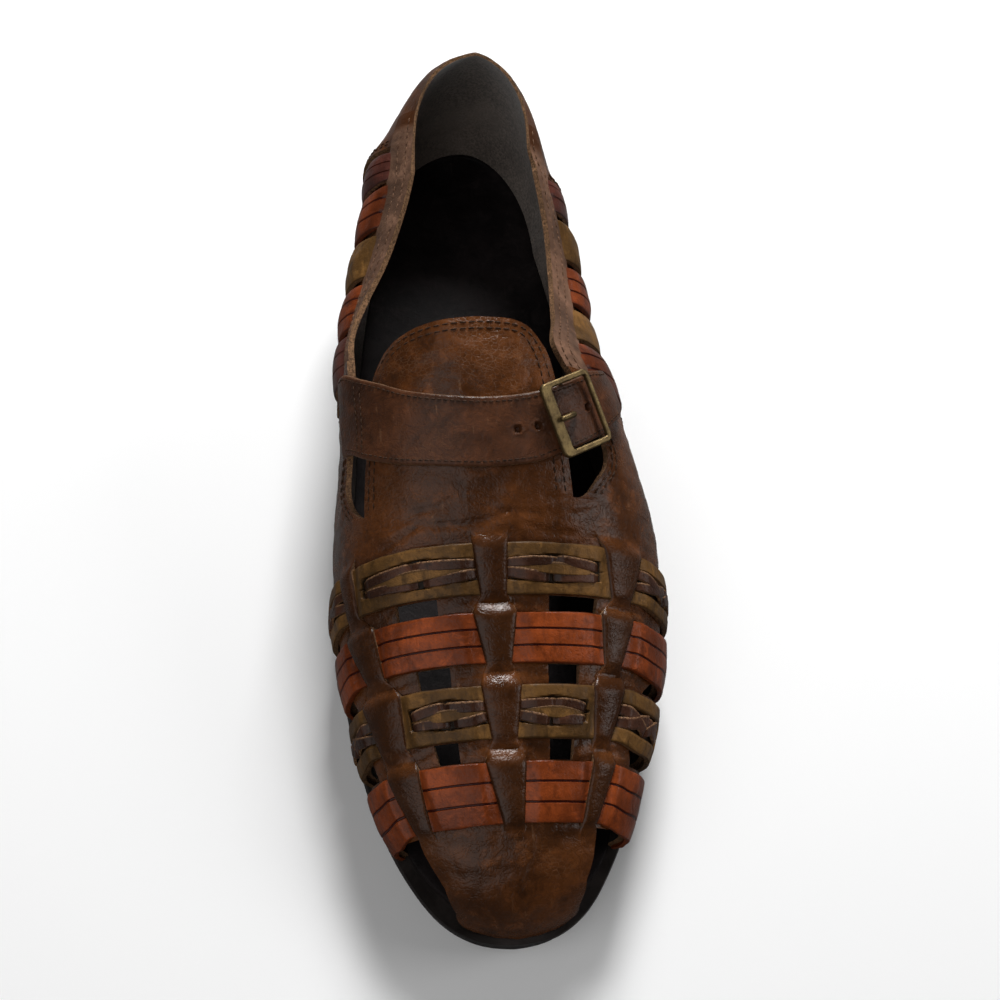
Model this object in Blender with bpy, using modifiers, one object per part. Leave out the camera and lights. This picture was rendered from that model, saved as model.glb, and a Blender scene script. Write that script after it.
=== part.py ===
"""Fisherman sandal, left shoe, standing empty on its sole.

Tables are in millimetres, the model in metres with +Z up.  The toe points to
-Y, the heel to +Y and the buckled lateral side to +X.  The origin is on the
floor, under the middle of the shoe.

Places on the last are given by a station s and a girth t.  Up to HEEL_AXIS, s
is the distance along the shoe; past it, s - HEEL_AXIS is an angle in degrees
around the heel, 90 at its back.  The girth t runs from -1 at the medial
feather line over the ridge at 0 to +1 at the lateral feather line.
"""

from collections import namedtuple

import bmesh
import bpy
import numpy as np

MM = 0.001
GAP = 0.3                     # clearance between pieces that touch
SHIFT = (-2.1, -0.7)          # x and y that bring the middle of the shoe to the origin

TOE_TIP = -147.0              # station of the last's toe
HEEL_AXIS = 100.0             # station where the sections start to turn around the heel
HEEL_BACK = 50.0              # from the heel axis to the back of the last
HEEL_ROUND = 1.9              # exponent of the heel's plan curve
HEEL_END = HEEL_AXIS + 90.0
LOW = 0.2                     # share of the girth below the widest line

# one row for each section of the last: outermost x on both sides, x of the ridge,
# heights of the feather line, widest line and ridge, fullness exponent, and how
# far the feather line lies inside the widest line
LAST_COLUMNS = ("s", "medial", "lateral", "ridge", "feather", "widest", "top", "full", "inset")
LAST = (
    (-147, 0.5, 0.5, 0.5, 17.6, 17.6, 17.6, 2.0, 0.0),
    (-144, -13.0, 14.0, 0.0, 17.0, 20.0, 27.5, 2.0, 0.2),
    (-137, -22.0, 23.0, -1.0, 16.0, 22.0, 34.5, 2.0, 1.0),
    (-124, -32.0, 33.0, -2.0, 14.0, 23.0, 41.0, 2.1, 2.2),
    (-105, -40.5, 40.5, -3.0, 12.5, 24.0, 48.0, 2.2, 3.5),
    (-80, -46.0, 49.0, -4.0, 11.5, 25.0, 55.0, 2.2, 3.5),
    (-50, -50.5, 54.5, -5.0, 11.5, 27.0, 64.0, 2.2, 4.0),
    (-20, -50.5, 54.0, -5.5, 13.5, 31.0, 77.0, 2.2, 4.0),
    (10, -47.5, 46.5, -6.5, 18.0, 36.0, 91.0, 2.2, 4.0),
    (45, -45.0, 37.5, -6.0, 24.0, 43.0, 100.0, 2.0, 4.0),
    (75, -40.8, 34.2, -2.0, 28.0, 47.0, 102.0, 2.1, 4.0),
    (100, -35.3, 29.3, 1.5, 30.5, 50.0, 112.0, 2.2, 4.0),
)

# the quarters' top edge as a girth on both sides, and how far it leans in from the last
COLLAR_COLUMNS = ("s", "medial", "lateral", "lean_medial", "lean_lateral")
COLLAR = (
    (-22.5, 0.478, 0.262, 0.0, 0.0),
    (-17, 0.550, 0.310, 0.0, 0.0),
    (-10, 0.605, 0.373, 0.0, 0.0),
    (0, 0.615, 0.380, 0.0, 0.0),
    (12, 0.550, 0.330, -1.5, 1.0),
    (26, 0.523, 0.315, -3.5, 4.0),
    (40, 0.537, 0.440, -3.6, 7.2),
    (52, 0.542, 0.500, 0.0, 7.8),
    (66, 0.544, 0.540, 5.0, 8.0),
    (85, 0.553, 0.555, 9.0, 7.0),
    (104, 0.558, 0.559, 10.2, 6.8),
    (130, 0.522, 0.526, 7.8, 7.2),
    (150, 0.475, 0.490, 3.5, 4.6),
    (170, 0.425, 0.445, -1.0, 0.8),
    (190, 0.403, 0.403, -3.0, -3.0),
)

# the wall and how far its outer side is raised above it
WALL = 1.7
BOTTOM_LIFT = 0.5             # rise of the inner lower edge for each mm of wall, which slants out
RAISED = {"web": 0.3, "vamp": 0.6, "strap": 1.2, "band": 0.6, "strip": 1.9}

# the woven rows across the forefoot, from the toe cap back
ROWS = ((-119.2, -101.2), (-95.0, -78.6), (-72.6, -56.8), (-51.9, -36.2))
STEP = 0.9                    # run of a raised edge
# the straps on the quarters, from the wing back
MEDIAL_STRAPS = ((29, 44), (48, 63), (67, 81.5), (85.5, 100.5), (106, 124))
LATERAL_STRAPS = ((16.5, 31.5), (35.5, 50.5), (55, 69.5), (73.5, 87.5), (91.5, 107))
COUNTER_FRONT = {"medial": 129.0, "lateral": 111.5}
TOE_LINES = (-147, -146.3, -145, -143.4, -141, -137.5, -133, -128.5, -124)
WINDOW_FRONT = -143.4         # front end of the two openings beside the toe cap
SLOT_START = -22.5            # front end of the slots beside the tongue
TONGUE_TIP = 29.4
TONGUE_SIDE = 10.0            # station where the tongue's sides start to round in

# girths of the pattern's lines in the forefoot: the centre strip at a crossing,
# the openings between two rows, the panels' outer edge and the side strip's outer edge
GIRTH_COLUMNS = ("s", "gap_in_medial", "gap_out_medial", "panel_medial", "strip_medial",
                 "gap_in_lateral", "gap_out_lateral", "panel_lateral", "strip_lateral")
GIRTHS = (
    (-147, 0.16, 0.27, 0.38, 0.95, 0.14, 0.24, 0.32, 0.95),
    (-143.4, 0.16, 0.27, 0.38, 0.92, 0.14, 0.24, 0.32, 0.90),
    (-140, 0.16, 0.27, 0.38, 0.62, 0.14, 0.24, 0.32, 0.61),
    (-134, 0.16, 0.26, 0.36, 0.51, 0.14, 0.23, 0.31, 0.47),
    (-119, 0.16, 0.25, 0.36, 0.50, 0.14, 0.22, 0.30, 0.42),
    (-98, 0.16, 0.25, 0.36, 0.52, 0.14, 0.22, 0.29, 0.39),
    (-75, 0.16, 0.29, 0.40, 0.58, 0.14, 0.23, 0.295, 0.40),
    (-54, 0.165, 0.33, 0.46, 0.59, 0.14, 0.26, 0.31, 0.43),
    (-40, 0.17, 0.36, 0.51, 0.60, 0.14, 0.26, 0.32, 0.46),
    (-22.5, 0.20, 0.37, 0.455, 0.60, 0.10, 0.17, 0.222, 0.50),
)
CENTRE_STRIP = 0.047          # half of the centre strip's girth at a crossing
EDGE = 0.016                  # girth taken by a raised edge
# the lines below the quarters' top edge, as shares of the way down to the feather line
WEAVE_SHARES = (0.0, 0.15, 0.19, 0.35, 0.50, 0.66, 0.83, 1.0)
QUARTER_SHARES = (0.0, 0.29, 0.32, 0.49, 0.52, 0.68, 0.71, 1.0)
COLUMNS = 13                  # pattern lines on each side of the ridge

# sole: outline from its toe to the heel axis, and heights of the tread
SOLE_TOE = -151.0
OUTLINE_COLUMNS = ("s", "medial", "lateral")
OUTLINE = (
    (-151, 0.5, 0.5),
    (-150, -9.5, 10.0),
    (-147, -17.0, 17.2),
    (-141, -24.5, 24.5),
    (-130, -32.0, 32.3),
    (-115, -39.0, 40.0),
    (-95, -45.0, 46.5),
    (-70, -49.8, 52.5),
    (-45, -52.0, 54.5),
    (-20, -50.0, 53.0),
    (10, -43.0, 47.5),
    (40, -38.5, 39.5),
    (72, -37.0, 33.5),
    (100, -36.5, 30.8),
)
SOLE_BACK = 50.5
TREAD_COLUMNS = ("s", "z")
TREAD = (
    (-151, 10.0),
    (-140, 7.0),
    (-120, 3.4),
    (-100, 0.9),
    (-84, -0.2),
    (-60, -0.8),
    (-34, -0.5),
    (-20, 0.8),
    (0, 4.4),
    (25, 10.5),
    (50, 16.0),
    (75, 19.5),
    (100, 21.0),
)
WELT = 3.2                    # thickness of the welt
WELT_LEDGE = 1.3              # how far it stands out past the outsole
INSOLE = 2.6
INSOLE_NOSE = 2.2             # how much more it stays inside the upper at the toe
HEEL_BREAST = 60.0
HEEL_TAPER = 1.6              # how far the heel's foot lies inside its top

# the buckled strap: girth, its two edges' stations and the height of its inner face
# above the last
STRAP_COLUMNS = ("t", "rear", "front", "rise")
STRAP = (
    (-0.570, 25.4, 0.0, 3.2),
    (-0.520, 24.6, -1.5, 3.2),
    (-0.450, 20.0, -5.0, 3.1),
    (-0.360, 14.8, -8.6, 2.8),
    (-0.270, 10.2, -11.3, 2.7),
    (-0.180, 7.4, -13.0, 2.7),
    (-0.090, 5.7, -14.2, 2.7),
    (0.000, 4.9, -14.8, 2.7),
    (0.060, 5.2, -14.3, 3.0),
    (0.120, 5.9, -12.9, 4.3),
    (0.170, 6.9, -10.2, 5.3),
    (0.220, 8.7, -7.8, 5.5),
    (0.270, 11.2, -5.3, 5.3),
    (0.330, 14.8, -2.4, 4.9),
    (0.400, 18.0, 2.0, 4.7),
    (0.460, 20.0, 6.0, 4.0),
    (0.500, 18.2, 10.6, 3.6),
)
STRAP_THICK = 2.0
TAB_GIRTH = (0.27, 0.42)     # the leather tab that holds the buckle, under the strap
TAB_THICK = 1.3
BUCKLE_GIRTH = 0.23
BUCKLE_LONG = 24.6            # across the strap
BUCKLE_WIDE = 19.4            # along the strap
BUCKLE_THICK = 1.7
BUCKLE_RISE = 0.5             # above the strap, which curves a little under the frame
BUCKLE_CORNER = 2.4
BUCKLE_BARS = {"side": 2.0, "front": 4.0, "rear": 1.6, "middle": 1.6}
PRONG = 1.0                  # radius

Line = namedtuple("Line", "medial lateral kind tongue")


def table(columns, rows):
    """A table's columns by name."""
    return {name: np.array([row[k] for row in rows], float) for k, name in enumerate(columns)}


def spline(x, keys, values):
    """Smooth curve through a table's values."""
    step = np.diff(keys)
    slope = np.diff(values) / step
    inner = (slope[:-1] * step[1:] + slope[1:] * step[:-1]) / (step[1:] + step[:-1])
    tangent = np.concatenate([[slope[0]], inner, [slope[-1]]])
    i = np.clip(np.searchsorted(keys, x) - 1, 0, len(keys) - 2)
    u = np.clip((x - keys[i]) / step[i], 0.0, 1.0)
    rise = values[i + 1] - values[i]
    bend = tangent[i] * u * (1 - u) ** 2 - tangent[i + 1] * u ** 2 * (1 - u)
    return values[i] + rise * (3 * u ** 2 - 2 * u ** 3) + step[i] * bend


LAST_TABLE = table(LAST_COLUMNS, LAST)
COLLAR_TABLE = table(COLLAR_COLUMNS, COLLAR)
GIRTH_TABLE = table(GIRTH_COLUMNS, GIRTHS)
OUTLINE_TABLE = table(OUTLINE_COLUMNS, OUTLINE)
TREAD_TABLE = table(TREAD_COLUMNS, TREAD)
STRAP_TABLE = table(STRAP_COLUMNS, STRAP)


def from_toe(s, toe):
    """Root of the distance from the toe, in which a round toe is a straight line."""
    return np.sqrt(np.clip(s - toe, 0.0, None))


def section(s, name):
    return spline(from_toe(s, TOE_TIP), from_toe(LAST_TABLE["s"], TOE_TIP), LAST_TABLE[name])


def collar(s, name):
    return spline(s, COLLAR_TABLE["s"], COLLAR_TABLE[name])


def round_heel(half, back, turn):
    """Plan radius around the heel axis, from half at the side to back at the rear."""
    side = (np.cos(turn) / half) ** HEEL_ROUND
    rear = (np.sin(turn) / back) ** HEEL_ROUND
    return (side + rear) ** (-1.0 / HEEL_ROUND)


def last_point(s, t, lean=0.0):
    """Point on the last, leaned in towards its middle by lean at the collar."""
    y = min(s, HEEL_AXIS)
    turn = np.radians(np.clip(s - HEEL_AXIS, 0.0, 90.0))
    side = "medial" if t < 0 else "lateral"
    hand = -1.0 if t < 0 else 1.0
    full = section(y, "full")
    feather, widest, top = section(y, "feather"), section(y, "widest"), section(y, "top")
    half = max(hand * (section(y, side) - section(y, "ridge")), 1e-4)
    if turn > 0:
        half = round_heel(half, HEEL_BACK, turn)
    up = 1.0 - abs(t)
    if up >= LOW:
        bow = (up - LOW) / (1.0 - LOW) * np.pi / 2
        share = max(np.sin(bow), 0.0) ** (2 / full)
        z = widest + (top - widest) * share
        reach = half * max(np.cos(bow), 0.0) ** (2 / full)
        edge_bow = (1.0 - collar(s, side) - LOW) / (1.0 - LOW) * np.pi / 2
        reach -= lean * min(share / np.sin(edge_bow) ** (2 / full), 1.0) ** 2
    else:
        drop = (LOW - up) / LOW
        z = widest - (widest - feather) * drop
        reach = half - min(section(y, "inset"), 0.5 * half) * drop ** 2
    x = section(y, "ridge") + hand * reach * np.cos(turn)
    return np.array([x + SHIFT[0], y + reach * np.sin(turn) + SHIFT[1], z])


def wall_point(s, t):
    """Point on the inner side of the quarters, with the collar's lean."""
    side = "lean_medial" if t < 0 else "lean_lateral"
    return last_point(s, t, collar(max(s, SLOT_START), side) if s > SLOT_START else 0.0)


def normal(point, s, t):
    """Outward normal of the surface that point(s, t) describes."""
    along = point(s + 0.5, t) - point(s - 0.5, t)
    hand = 0.004 if t >= 0 else -0.004
    across = (point(s, t + hand) - point(s, t)) * np.sign(hand)
    out = np.cross(across, along)
    return out / np.linalg.norm(out)


def clear_welt(s, z, wall):
    """Height with the wall's lower edge raised off the welt, as its outer side slants down."""
    low, high = section(min(s, HEEL_AXIS), "feather"), section(min(s, HEEL_AXIS), "widest")
    if z >= high:
        return z
    lift = min(wall * BOTTOM_LIFT, (high - low) / 2)
    return high - (high - z) * (1.0 - lift / (high - low))


def pattern_lines():
    """Lines across the upper's pattern, each with the kind of cells behind it."""
    lines = []

    def add(medial, lateral, kind, tongue=None):
        lines.append(Line(medial, lateral, kind, tongue))

    for s in TOE_LINES:
        add(s, s, "toe_window" if s >= WINDOW_FRONT else "closed")
    gaps = ("side_gap", "side_gap", "web_gap", "vamp")
    for (start, end), gap in zip(ROWS, gaps):
        cap = start == ROWS[0][0]
        if cap:
            add(start - STEP, start - STEP, "row_edge")
        add(start, start, "row")
        add((start + end) / 2, (start + end) / 2, "row")
        add(end, end, "row_edge")
        add(end + STEP, end + STEP, gap)
        if gap != "vamp":
            after = ROWS[ROWS.index((start, end)) + 1][0]
            add(after - STEP, after - STEP, "row_edge")
    add(-30.5, -30.5, "vamp")
    add(-26.5, -26.5, "vamp")
    quarter = [(f, "wing") for f in (0.0, 0.11, 0.25, 0.5, 0.75)]
    first = (MEDIAL_STRAPS[0][0] - STEP, LATERAL_STRAPS[0][0] - STEP)
    tongue = np.linspace(0.0, 1.0, 10)
    for k, (f, kind) in enumerate(quarter):
        add(SLOT_START + (first[0] - SLOT_START) * f, SLOT_START + (first[1] - SLOT_START) * f,
            kind, tongue[k])
    for k, (m, l) in enumerate(zip(MEDIAL_STRAPS, LATERAL_STRAPS)):
        ahead = tongue[5:9] if k == 0 else (1.0,) + (None,) * 3 if k == 1 else (None,) * 4
        add(m[0] - STEP, l[0] - STEP, "strap_edge", ahead[0])
        add(m[0], l[0], "strap", ahead[1])
        add(m[1], l[1], "strap_edge", ahead[2])
        add(m[1] + STEP, l[1] + STEP, "slit", ahead[3])
    for f in (0.0, 0.03, 0.17, 0.32, 0.46, 0.6, 0.74, 0.87, 1.0):
        add(COUNTER_FRONT["medial"] + (HEEL_END - COUNTER_FRONT["medial"]) * f,
            COUNTER_FRONT["lateral"] + (HEEL_END - COUNTER_FRONT["lateral"]) * f, "counter")
    return lines


def girth_line(line, side, k):
    """Girth of pattern line k, counted from the ridge, on one side."""
    s = getattr(line, side)
    ahead = min(s, SLOT_START)
    read = {name: spline(ahead, GIRTH_TABLE["s"], GIRTH_TABLE[name + "_" + side])
            for name in ("gap_in", "gap_out", "panel", "strip")}
    inner = (0.0, CENTRE_STRIP - EDGE / 2, CENTRE_STRIP + EDGE / 2, read["gap_in"],
             read["gap_out"], read["panel"])
    vamp = np.clip((s - ROWS[-1][1]) / (SLOT_START - ROWS[-1][1]), 0.0, 1.0)
    if k <= 5:
        even = read["panel"] * k / 5
        return inner[k] + (even - inner[k]) * vamp
    if s <= SLOT_START:
        top = read["panel"] + EDGE
        share = (read["strip"] - top) / (1.0 - top)
        rest = np.array(WEAVE_SHARES)
        rest[1] = share
        rest[2] = share + EDGE
        rest[3:] = rest[2] + (1.0 - rest[2]) * np.linspace(0.0, 1.0, 6)[1:]
    else:
        top = collar(s, side)
        rest = np.array(QUARTER_SHARES)
    if s > SLOT_START - 0.01:
        start = np.array(WEAVE_SHARES)
        blend = np.clip((s - SLOT_START) / 30.0, 0.0, 1.0)
        rest = start + (np.array(QUARTER_SHARES) - start) * blend
        top = collar(s, side)
    elif vamp > 0:
        rest = rest + (np.array(WEAVE_SHARES) - rest) * vamp
        top = top + (collar(SLOT_START, side) - top) * vamp
    return top + (1.0 - top) * rest[k - 6]


def raised(line, k):
    """How far the wall's outer side is raised on pattern line k."""
    if line.kind == "row" or (line.kind == "row_edge" and line.medial in [r[1] for r in ROWS]):
        return RAISED["strip"] if k <= 1 or k in (6, 7) else RAISED["strap"]
    if line.kind in ("row_edge", "side_gap", "web_gap"):
        return RAISED["web"]
    if line.kind in ("closed", "toe_window", "vamp"):
        return RAISED["vamp"]
    if k <= 5:
        return RAISED["vamp"]
    if line.kind == "wing":
        return RAISED["vamp"] if k > 6 or line.medial > 0 else RAISED["vamp"] / 2
    on_strap = line.medial in [edge for strap in MEDIAL_STRAPS for edge in strap]
    if line.kind == "counter" or k <= 7:
        return RAISED["band"]
    if k in (10, 11):
        return RAISED["strip"] if on_strap else RAISED["vamp"]
    return RAISED["strap"] if on_strap else RAISED["web"]


def is_open(line, after, k):
    """Whether the cell behind a line, between pattern lines k and k + 1, is cut out."""
    if line.kind in ("toe_window", "side_gap") and k >= 7:
        return line.kind == "toe_window" or k >= 8
    if line.kind in ("side_gap", "web_gap") and k == 3:
        return True
    if line.kind == "web_gap":
        return k >= 9
    if line.kind == "slit":
        return k in (8, 12) or k <= 5
    if line.kind in ("wing", "strap_edge", "strap", "counter"):
        return k == 5 or (k < 5 and (after is None or after.tongue is None))
    return False


def tongue_station(line, q):
    """Station on the tongue, whose rear edge is round; q runs from side to side."""
    tip = TONGUE_SIDE + (TONGUE_TIP - TONGUE_SIDE) * (1.0 - min(abs(q), 1.0) ** 5) ** 0.45
    return SLOT_START + (tip - SLOT_START) * line.tongue


def new_object(name, mesh, group, color, roughness, metallic=0.0):
    """An object in its collection, with its own plain material."""
    item = bpy.data.objects.new(name, mesh)
    group.objects.link(item)
    material = bpy.data.materials.new(name)
    material.use_nodes = True
    shader = material.node_tree.nodes["Principled BSDF"]
    shader.inputs["Base Color"].default_value = (*color, 1.0)
    shader.inputs["Roughness"].default_value = roughness
    shader.inputs["Metallic"].default_value = metallic
    mesh.materials.append(material)
    return item


def finish_mesh(name, bm):
    """A mesh from bm, its millimetres turned to metres."""
    bmesh.ops.scale(bm, vec=(MM, MM, MM), verts=bm.verts)
    mesh = bpy.data.meshes.new(name)
    bm.to_mesh(mesh)
    bm.free()
    mesh.shade_smooth()
    mesh.set_sharp_from_angle(angle=0.7)
    return mesh


def pattern_grid(rows, columns):
    """A flat grid with the row and column of each vertex and face."""
    bm = bmesh.new()
    bm.verts.layers.deform.verify()
    bmesh.ops.create_grid(bm, x_segments=rows - 1, y_segments=columns - 1, size=0.5)

    def place(co):
        return (co.x + 0.5) * (rows - 1), (co.y + 0.5) * (columns - 1)

    verts = {v: tuple(int(round(c)) for c in place(v.co)) for v in bm.verts}
    faces = {f: tuple(int(c) for c in place(f.calc_center_median())) for f in bm.faces}
    return bm, verts, faces


def build_upper(group):
    """The whole upper: one wall over the last, with its strips and straps raised."""
    lines = pattern_lines()
    width = 2 * COLUMNS + 1
    bm, verts, faces = pattern_grid(len(lines), width)
    layer = bm.verts.layers.deform.verify()
    most = WALL + RAISED["strip"]
    for vert, (i, j) in verts.items():
        line, k = lines[i], abs(j - COLUMNS)
        side = "medial" if j < COLUMNS else "lateral"
        hand = -1.0 if j < COLUMNS else 1.0
        t = hand * girth_line(line, side, k)
        if k <= 5 and line.tongue is not None:
            vert.co = last_point(tongue_station(line, k / 5), t)
        else:
            s = getattr(line, side)
            vert.co = wall_point(s, t)
            vert.co.z = clear_welt(s, vert.co.z, WALL + raised(line, k))
        vert[layer][0] = (WALL + raised(line, k)) / most
    cut = []
    for face, (i, j) in faces.items():
        k = j - COLUMNS if j >= COLUMNS else COLUMNS - 1 - j
        if is_open(lines[i], lines[i + 1], k):
            cut.append(face)
    bmesh.ops.delete(bm, geom=cut, context="FACES")
    bmesh.ops.reverse_faces(bm, faces=bm.faces)
    bmesh.ops.remove_doubles(bm, verts=bm.verts, dist=0.02)
    upper = new_object("upper", finish_mesh("upper", bm), group, (0.13, 0.055, 0.03), 0.45)
    upper.vertex_groups.new(name="thickness")
    wall = upper.modifiers.new("wall", "SOLIDIFY")
    wall.thickness = most * MM
    wall.offset = 1.0
    wall.vertex_group = "thickness"
    return upper


def ribbon(name, group, rows, thick, color):
    """A strap from rows of points across it, thickened outwards."""
    bm, verts, _ = pattern_grid(len(rows), len(rows[0]))
    for vert, (i, j) in verts.items():
        vert.co = rows[i][j]
    bmesh.ops.recalc_face_normals(bm, faces=bm.faces)
    middle = min(bm.faces, key=lambda f: abs(f.calc_center_median().x))
    if middle.normal.z < 0:
        bmesh.ops.reverse_faces(bm, faces=bm.faces)
    item = new_object(name, finish_mesh(name, bm), group, color, 0.45)
    wall = item.modifiers.new("wall", "SOLIDIFY")
    wall.thickness = thick * MM
    wall.offset = 1.0
    return item


def strap_point(t, across, under=0.0):
    """Point under the strap's inner face; across runs from its front edge to its rear edge."""
    front = spline(t, STRAP_TABLE["t"], STRAP_TABLE["front"])
    rear = spline(t, STRAP_TABLE["t"], STRAP_TABLE["rear"])
    s = front + (rear - front) * across
    lift = spline(t, STRAP_TABLE["t"], STRAP_TABLE["rise"]) - under
    lean = collar(max(s, SLOT_START), "lean_medial" if t < 0 else "lean_lateral")
    start, full = (0.28, 0.5) if t < 0 else (0.24, 0.36)
    lean *= np.clip((abs(t) - start) / (full - start), 0.0, 1.0)

    def point(station, girth):
        return last_point(station, girth, lean)

    return point(s, t) + normal(point, s, t) * lift


def build_strap(group):
    stations = np.concatenate([np.linspace(a, b, 3)[:-1] for a, b in
                               zip(STRAP_TABLE["t"][:-1], STRAP_TABLE["t"][1:])]
                              + [STRAP_TABLE["t"][-1:]])
    rows = [[strap_point(t, f) for f in (0.0, 0.25, 0.5, 0.75, 1.0)] for t in stations]
    return ribbon("monk_strap", group, rows, STRAP_THICK, (0.15, 0.065, 0.035))


def build_tab(group):
    rows = [[strap_point(t, f, TAB_THICK + GAP) for f in (0.18, 0.5, 0.82)]
            for t in np.linspace(*TAB_GIRTH, 9)]
    return ribbon("buckle_tab", group, rows, TAB_THICK, (0.13, 0.055, 0.03))


def buckle_axes():
    """Middle of the buckle on the strap's outer face, and its three axes."""
    middle = strap_point(BUCKLE_GIRTH, 0.5)
    along = strap_point(BUCKLE_GIRTH + 0.05, 0.5) - strap_point(BUCKLE_GIRTH - 0.05, 0.5)
    along /= np.linalg.norm(along)
    across = strap_point(BUCKLE_GIRTH, 1.0) - strap_point(BUCKLE_GIRTH, 0.0)
    across -= along * np.dot(across, along)
    across /= np.linalg.norm(across)
    out = np.cross(along, across)
    return middle + out * STRAP_THICK, along, across, out


def in_axes(axes, u, v, w):
    """A point given along the strap, across it and outwards, in the buckle's own axes."""
    middle, along, across, out = axes
    return middle + along * u + across * v + out * w


def prism(bm, axes, profile, low, high):
    """A solid with a profile of (v, w) points, from low to high along u."""
    near = [bm.verts.new(in_axes(axes, low, v, w)) for v, w in profile]
    far = [bm.verts.new(in_axes(axes, high, v, w)) for v, w in profile]
    bm.faces.new(near)
    bm.faces.new(far[::-1])
    for k in range(len(near)):
        after = (k + 1) % len(near)
        bm.faces.new((near[k], far[k], far[after], near[after]))
    bmesh.ops.recalc_face_normals(bm, faces=bm.faces)


def round_rectangle(u_low, u_high, v_half, radius, corner_steps=3):
    """Points of a rectangle with round corners."""
    points = []
    for k, (u, v) in enumerate(((u_high, v_half), (u_low, v_half), (u_low, -v_half),
                                (u_high, -v_half))):
        hand_u = 1.0 if k in (0, 3) else -1.0
        hand_v = 1.0 if k in (0, 1) else -1.0
        for turn in np.linspace(k * np.pi / 2, (k + 1) * np.pi / 2, corner_steps + 1):
            points.append((u - hand_u * radius + radius * np.cos(turn),
                           v - hand_v * radius + radius * np.sin(turn)))
    return points


def build_buckle(group, helpers):
    """The frame on the strap, with the stirrup under the strap that holds the prong."""
    axes = buckle_axes()
    u, v = BUCKLE_WIDE / 2, BUCKLE_LONG / 2
    low, high = BUCKLE_RISE, BUCKLE_RISE + BUCKLE_THICK
    bars = BUCKLE_BARS
    outer = round_rectangle(-u, u, v, BUCKLE_CORNER)
    inner = round_rectangle(-u + bars["front"], u - bars["rear"], v - bars["side"],
                            BUCKLE_CORNER / 3)
    bm = bmesh.new()
    loops = [[bm.verts.new(in_axes(axes, a, b, w)) for a, b in outline]
             for outline, w in ((outer, low), (outer, high), (inner, high), (inner, low))]
    for here, after in zip(loops, loops[1:] + loops[:1]):
        for k in range(len(here)):
            following = (k + 1) % len(here)
            bm.faces.new((here[k], here[following], after[following], after[k]))
    bmesh.ops.recalc_face_normals(bm, faces=bm.faces)
    frame = new_object("buckle_frame", finish_mesh("buckle_frame", bm), group,
                       (0.45, 0.34, 0.16), 0.35, 1.0)
    bevel = frame.modifiers.new("edges", "BEVEL")
    bevel.width = 0.4 * MM
    bevel.segments = 1
    bevel.limit_method = "ANGLE"
    bevel.angle_limit = np.radians(60)
    under = -STRAP_THICK - 2 * GAP
    bar = bars["middle"]
    reach = v - 0.3
    stirrup = ((-reach, low + 0.9), (-reach, under - bar), (reach, under - bar), (reach, low + 0.9),
               (reach - bar, low + 0.9), (reach - bar, under), (bar - reach, under),
               (bar - reach, low + 0.9))
    bm = bmesh.new()
    prism(bm, axes, stirrup, -bar / 2, bar / 2)
    add_boolean(frame, "stirrup", bm, helpers, "UNION")
    return axes


def add_boolean(item, name, bm, helpers, operation):
    """A Boolean modifier on item with the closed mesh in bm, kept as a hidden helper."""
    helper = bpy.data.objects.new(name, finish_mesh(name, bm))
    helpers.objects.link(helper)
    helper.hide_render = True
    helper.display_type = "WIRE"
    modifier = item.modifiers.new(name, "BOOLEAN")
    modifier.operation = operation
    modifier.object = helper


def build_prong(group, axes):
    """A wire from the middle bar up through the strap and over the front bar."""
    middle, along, across, out = axes
    top = BUCKLE_RISE + BUCKLE_THICK + GAP + PRONG
    route = ((0.0, -STRAP_THICK - GAP + 0.2 + PRONG), (-0.2, 0.2), (-1.6, top - 0.9), (-3.6, top),
             (-BUCKLE_WIDE / 2 + 2.4, top))
    curve = bpy.data.curves.new("buckle_prong", "CURVE")
    curve.dimensions = "3D"
    curve.bevel_depth = PRONG * MM
    curve.bevel_resolution = 2
    curve.use_fill_caps = True
    line = curve.splines.new("POLY")
    line.points.add(len(route) - 1)
    for point, (u, w) in zip(line.points, route):
        place = (middle + along * u + out * w) * MM
        point.co = (*place, 1.0)
    prong = bpy.data.objects.new("buckle_prong", curve)
    group.objects.link(prong)
    material = bpy.data.materials.new("buckle_prong")
    material.use_nodes = True
    shader = material.node_tree.nodes["Principled BSDF"]
    shader.inputs["Base Color"].default_value = (0.45, 0.34, 0.16, 1.0)
    shader.inputs["Metallic"].default_value = 1.0
    shader.inputs["Roughness"].default_value = 0.35
    curve.materials.append(material)
    return prong


def cut_strap_hole(strap, axes, helpers):
    """The punched hole that the prong stands in."""
    reach = PRONG + GAP + 0.2
    hole = ((-reach, -STRAP_THICK - 1.0), (-reach, 1.0), (reach, 1.0), (reach, -STRAP_THICK - 1.0))
    bm = bmesh.new()
    prism(bm, axes, hole, -2.6, reach)
    add_boolean(strap, "prong_hole", bm, helpers, "DIFFERENCE")


def outline_point(s, side, inside=0.0):
    """Plan point on the sole's edge, moved inside it by a margin."""
    hand = -1.0 if side == "medial" else 1.0
    y = min(s, HEEL_AXIS)
    turn = np.radians(np.clip(s - HEEL_AXIS, 0.0, 90.0))
    axis = LAST_TABLE["ridge"][-1]
    keys = from_toe(OUTLINE_TABLE["s"], SOLE_TOE)
    reach = hand * (spline(from_toe(y, SOLE_TOE), keys, OUTLINE_TABLE[side]) - axis)
    if turn > 0:
        reach = round_heel(reach, SOLE_BACK, turn)
    x = axis + hand * (reach - inside) * np.cos(turn)
    return x, y + (reach - inside) * np.sin(turn)


def feather(s):
    return float(section(np.clip(s, TOE_TIP, HEEL_AXIS), "feather"))


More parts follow.
